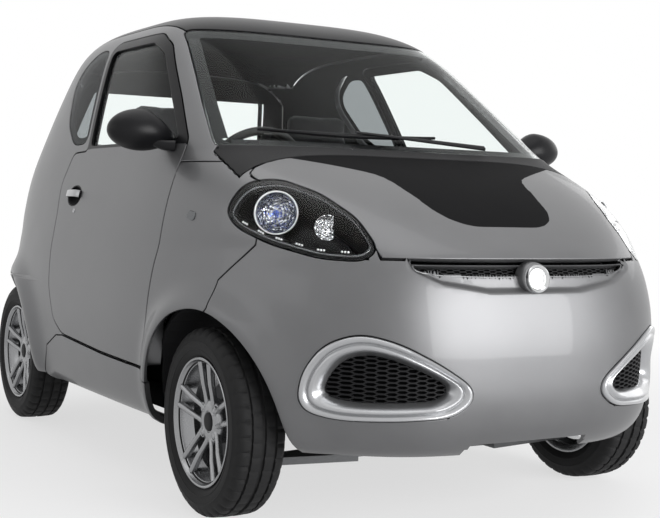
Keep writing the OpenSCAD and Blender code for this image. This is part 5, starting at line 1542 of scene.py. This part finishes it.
for x, wide, high in ((0.395, 0.150, 0.062), (0.410, 0.156, 0.068), (0.455, 0.158, 0.060),
                      (0.520, 0.150, 0.030), (0.555, 0.140, 0.010)):
    outer = [(x, driver_side + wide * math.cos(t), 0.975 + high * math.sin(t)) for t in hood_turns]
    inner = [(x, driver_side + (wide - 0.010) * math.cos(t), 0.971 + (high - 0.008) * math.sin(t))
             for t in hood_turns]
    hood_loops.append(np.array(outer + inner[::-1]))
fit(loft("dial_hood", hood_loops), "body", "black_plastic", [dash_grain])
for k, side in enumerate((-0.500, 0.0, 0.500)):
    vent = turned(f"air_vent_{k}", [
        (0.026, 0.004), (0.032, 0.008), (0.038, 0.004), (0.038, -0.012), (0.026, -0.012)],
        (0.358, side * 0.92, 0.925), (-0.93, 0, 0.36), 36)
    fit(vent, "body", "black_plastic", [black_gloss])
frame["nodes"]["steering_wheel"].data.materials.clear()
frame["nodes"]["steering_wheel"].data.materials.append(leather)

# Seats. Foam cushion, back and head pad under a woven cover, blown up from slightly small blocks so
# that the cover is taut and crowned, with sewn channels; they stand on a plain moulded base.
def woven(name, base):
    """Woven cover: threads both ways stand up from the grain."""
    material = grained(name, base, 260, 0.5, 0.85, 0.1, 0.3, Specular_IOR_Level=0.15, Sheen_Weight=0.25)
    nodes, links = material.node_tree.nodes, material.node_tree.links
    shader_normal = nodes["Principled BSDF"].inputs["Normal"]
    grain_normal = shader_normal.links[0].from_socket
    where, bump = nodes.new("ShaderNodeTexCoord"), nodes.new("ShaderNodeBump")
    threads = []
    for direction in ("Y", "Z"):
        wave = nodes.new("ShaderNodeTexWave")
        wave.bands_direction = direction
        set_sockets(wave, Scale=150)
        links.new(where.outputs["Object"], wave.inputs["Vector"])
        threads.append(wave.outputs["Fac"])
    set_sockets(bump, Strength=0.4, Distance=0.001)
    links.new(math_node(nodes, links, "MULTIPLY", *threads), bump.inputs["Height"])
    links.new(grain_normal, bump.inputs["Normal"])
    links.new(bump.outputs["Normal"], shader_normal)
    return material


seat_cloth = woven("seat_cloth", (0.016, 0.016, 0.018))


cover_pressure, cover_steps = 4, 15
seam_depth = 0.006


def blown_pad(name, side_view, half, taper, most, seams):
    """Pad of a side view profile and half width, blown up as cloth by at most a distance, then seamed."""
    middle = np.mean(side_view, axis=0)
    loops = []
    for y, size in ((-half, taper), (-0.82 * half, 1.0), (0, 1.0), (0.82 * half, 1.0), (half, taper)):
        loops.append(np.array([(middle[0] + (x - middle[0]) * size, y, middle[1] + (z - middle[1]) * size)
                               for x, z in finely(side_view, 0.03)]))
    pad = loft(name, loops)
    remesh = pad.modifiers.new("even", "REMESH")
    remesh.mode, remesh.voxel_size = "VOXEL", 0.011
    pick_out(pad)
    bpy.ops.object.modifier_apply(modifier=remesh.name)
    start = np.array([v.co[:] for v in pad.data.vertices])
    cloth = pad.modifiers.new("cover", "CLOTH")
    cloth.settings.use_pressure = True
    cloth.settings.uniform_pressure_force = cover_pressure
    cloth.settings.effector_weights.gravity = 0
    for step in range(1, cover_steps + 1):
        scene.frame_set(step)
    blown = pad.evaluated_get(bpy.context.evaluated_depsgraph_get())
    moved = np.array([v.co[:] for v in blown.data.vertices]) - start
    pad.modifiers.remove(cloth)
    scene.frame_set(1)
    length = np.linalg.norm(moved, axis=1)[:, None]
    points = start + moved * np.minimum(1, most / np.maximum(length, 1e-9))
    normals = np.array([v.normal[:] for v in pad.data.vertices])
    for axis, value in seams:
        points -= normals * (seam_depth * np.exp(-((points[:, axis] - value) / seam_depth) ** 2))[:, None]
    pad.data.vertices.foreach_set("co", points.ravel())
    smooth = pad.modifiers.new("smooth", "SUBSURF")
    smooth.levels = smooth.render_levels = 1
    pick_out(pad)
    bpy.ops.object.modifier_apply(modifier=smooth.name)
    bpy.ops.object.shade_smooth()
    return pad


seat_cushion = blown_pad("seat_right_cushion", [
    (-0.255, 0.470), (-0.262, 0.572), (0.080, 0.556), (0.132, 0.580), (0.138, 0.545), (0.090, 0.470)],
    0.215, 0.90, 0.012, [(1, -0.135), (1, 0.135), (0, -0.06)])
seat_back = blown_pad("seat_right_back", [
    (-0.318, 0.560), (-0.438, 1.045), (-0.408, 1.056), (-0.300, 0.640), (-0.275, 0.575)],
    0.212, 0.92, 0.012, [(1, -0.125), (1, 0.125), (2, 0.84)])
head_pad = blown_pad("seat_right_head_pad", [
    (-0.472, 1.095), (-0.486, 1.215), (-0.462, 1.236), (-0.432, 1.225), (-0.420, 1.105)],
    0.125, 0.80, 0.010, [])
for pad in (seat_cushion, seat_back, head_pad):
    pad.data.transform(Matrix.Translation((0, driver_side, 0)))
    for piece in fit_pair(pad, "body", "seat_fabric", [seat_cloth]):
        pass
base_path = [(-0.30, driver_side, 0.428), (-0.20, driver_side, 0.430), (0.0, driver_side, 0.430),
             (0.08, driver_side, 0.428)]
seat_base = sweep("seat_right_base", base_path, (0, 0, 1), rounded_section(0.40, 0.070))
fit(seat_base, "body", "black_plastic", [black_plastic], "seats")
fit(mirrored(seat_base, "seat_left_base"), "body", "black_plastic", [black_plastic])
for k, side in enumerate((driver_side - 0.05, driver_side + 0.05)):
    post = sweep(f"seat_right_head_post_{k}", [
        (-0.424, side, 1.03), (-0.436, side, 1.07), (-0.450, side, 1.12)],
        (1, 0, 0), rounded_section(0.010, 0.010))
    fit_pair(post, "body", "black_plastic", [line_grey])

# Underside. Floor, tubs and bulkhead in black underseal, the battery case in painted steel, axles, arms
# and brakes in bare and oiled steel; all keep the shapes of the solids.
underseal = grained("underseal", (0.011, 0.011, 0.012), 300, 0.4, 0.80, 0.12, 0.6, Specular_IOR_Level=0.2)
case_paint = grained("battery_case_paint", (0.060, 0.063, 0.068), 600, 0.25, 0.50, 0.1, 0.2)
chassis_steel = grained("chassis_steel", (0.11, 0.112, 0.115), 420, 0.45, 0.46, 0.2, 0.25, Metallic=0.85)
for names, finish in ((("underbody",), underseal), (("battery_pack",), case_paint),
                      (("front_axle", "rear_axle", "knuckle_right", "knuckle_left"), chassis_steel)):
    for name in names:
        frame["nodes"][name].data.materials.clear()
        frame["nodes"][name].data.materials.append(finish)

# Sizes. The box round the solids and the box round the dressed car.
low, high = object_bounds()
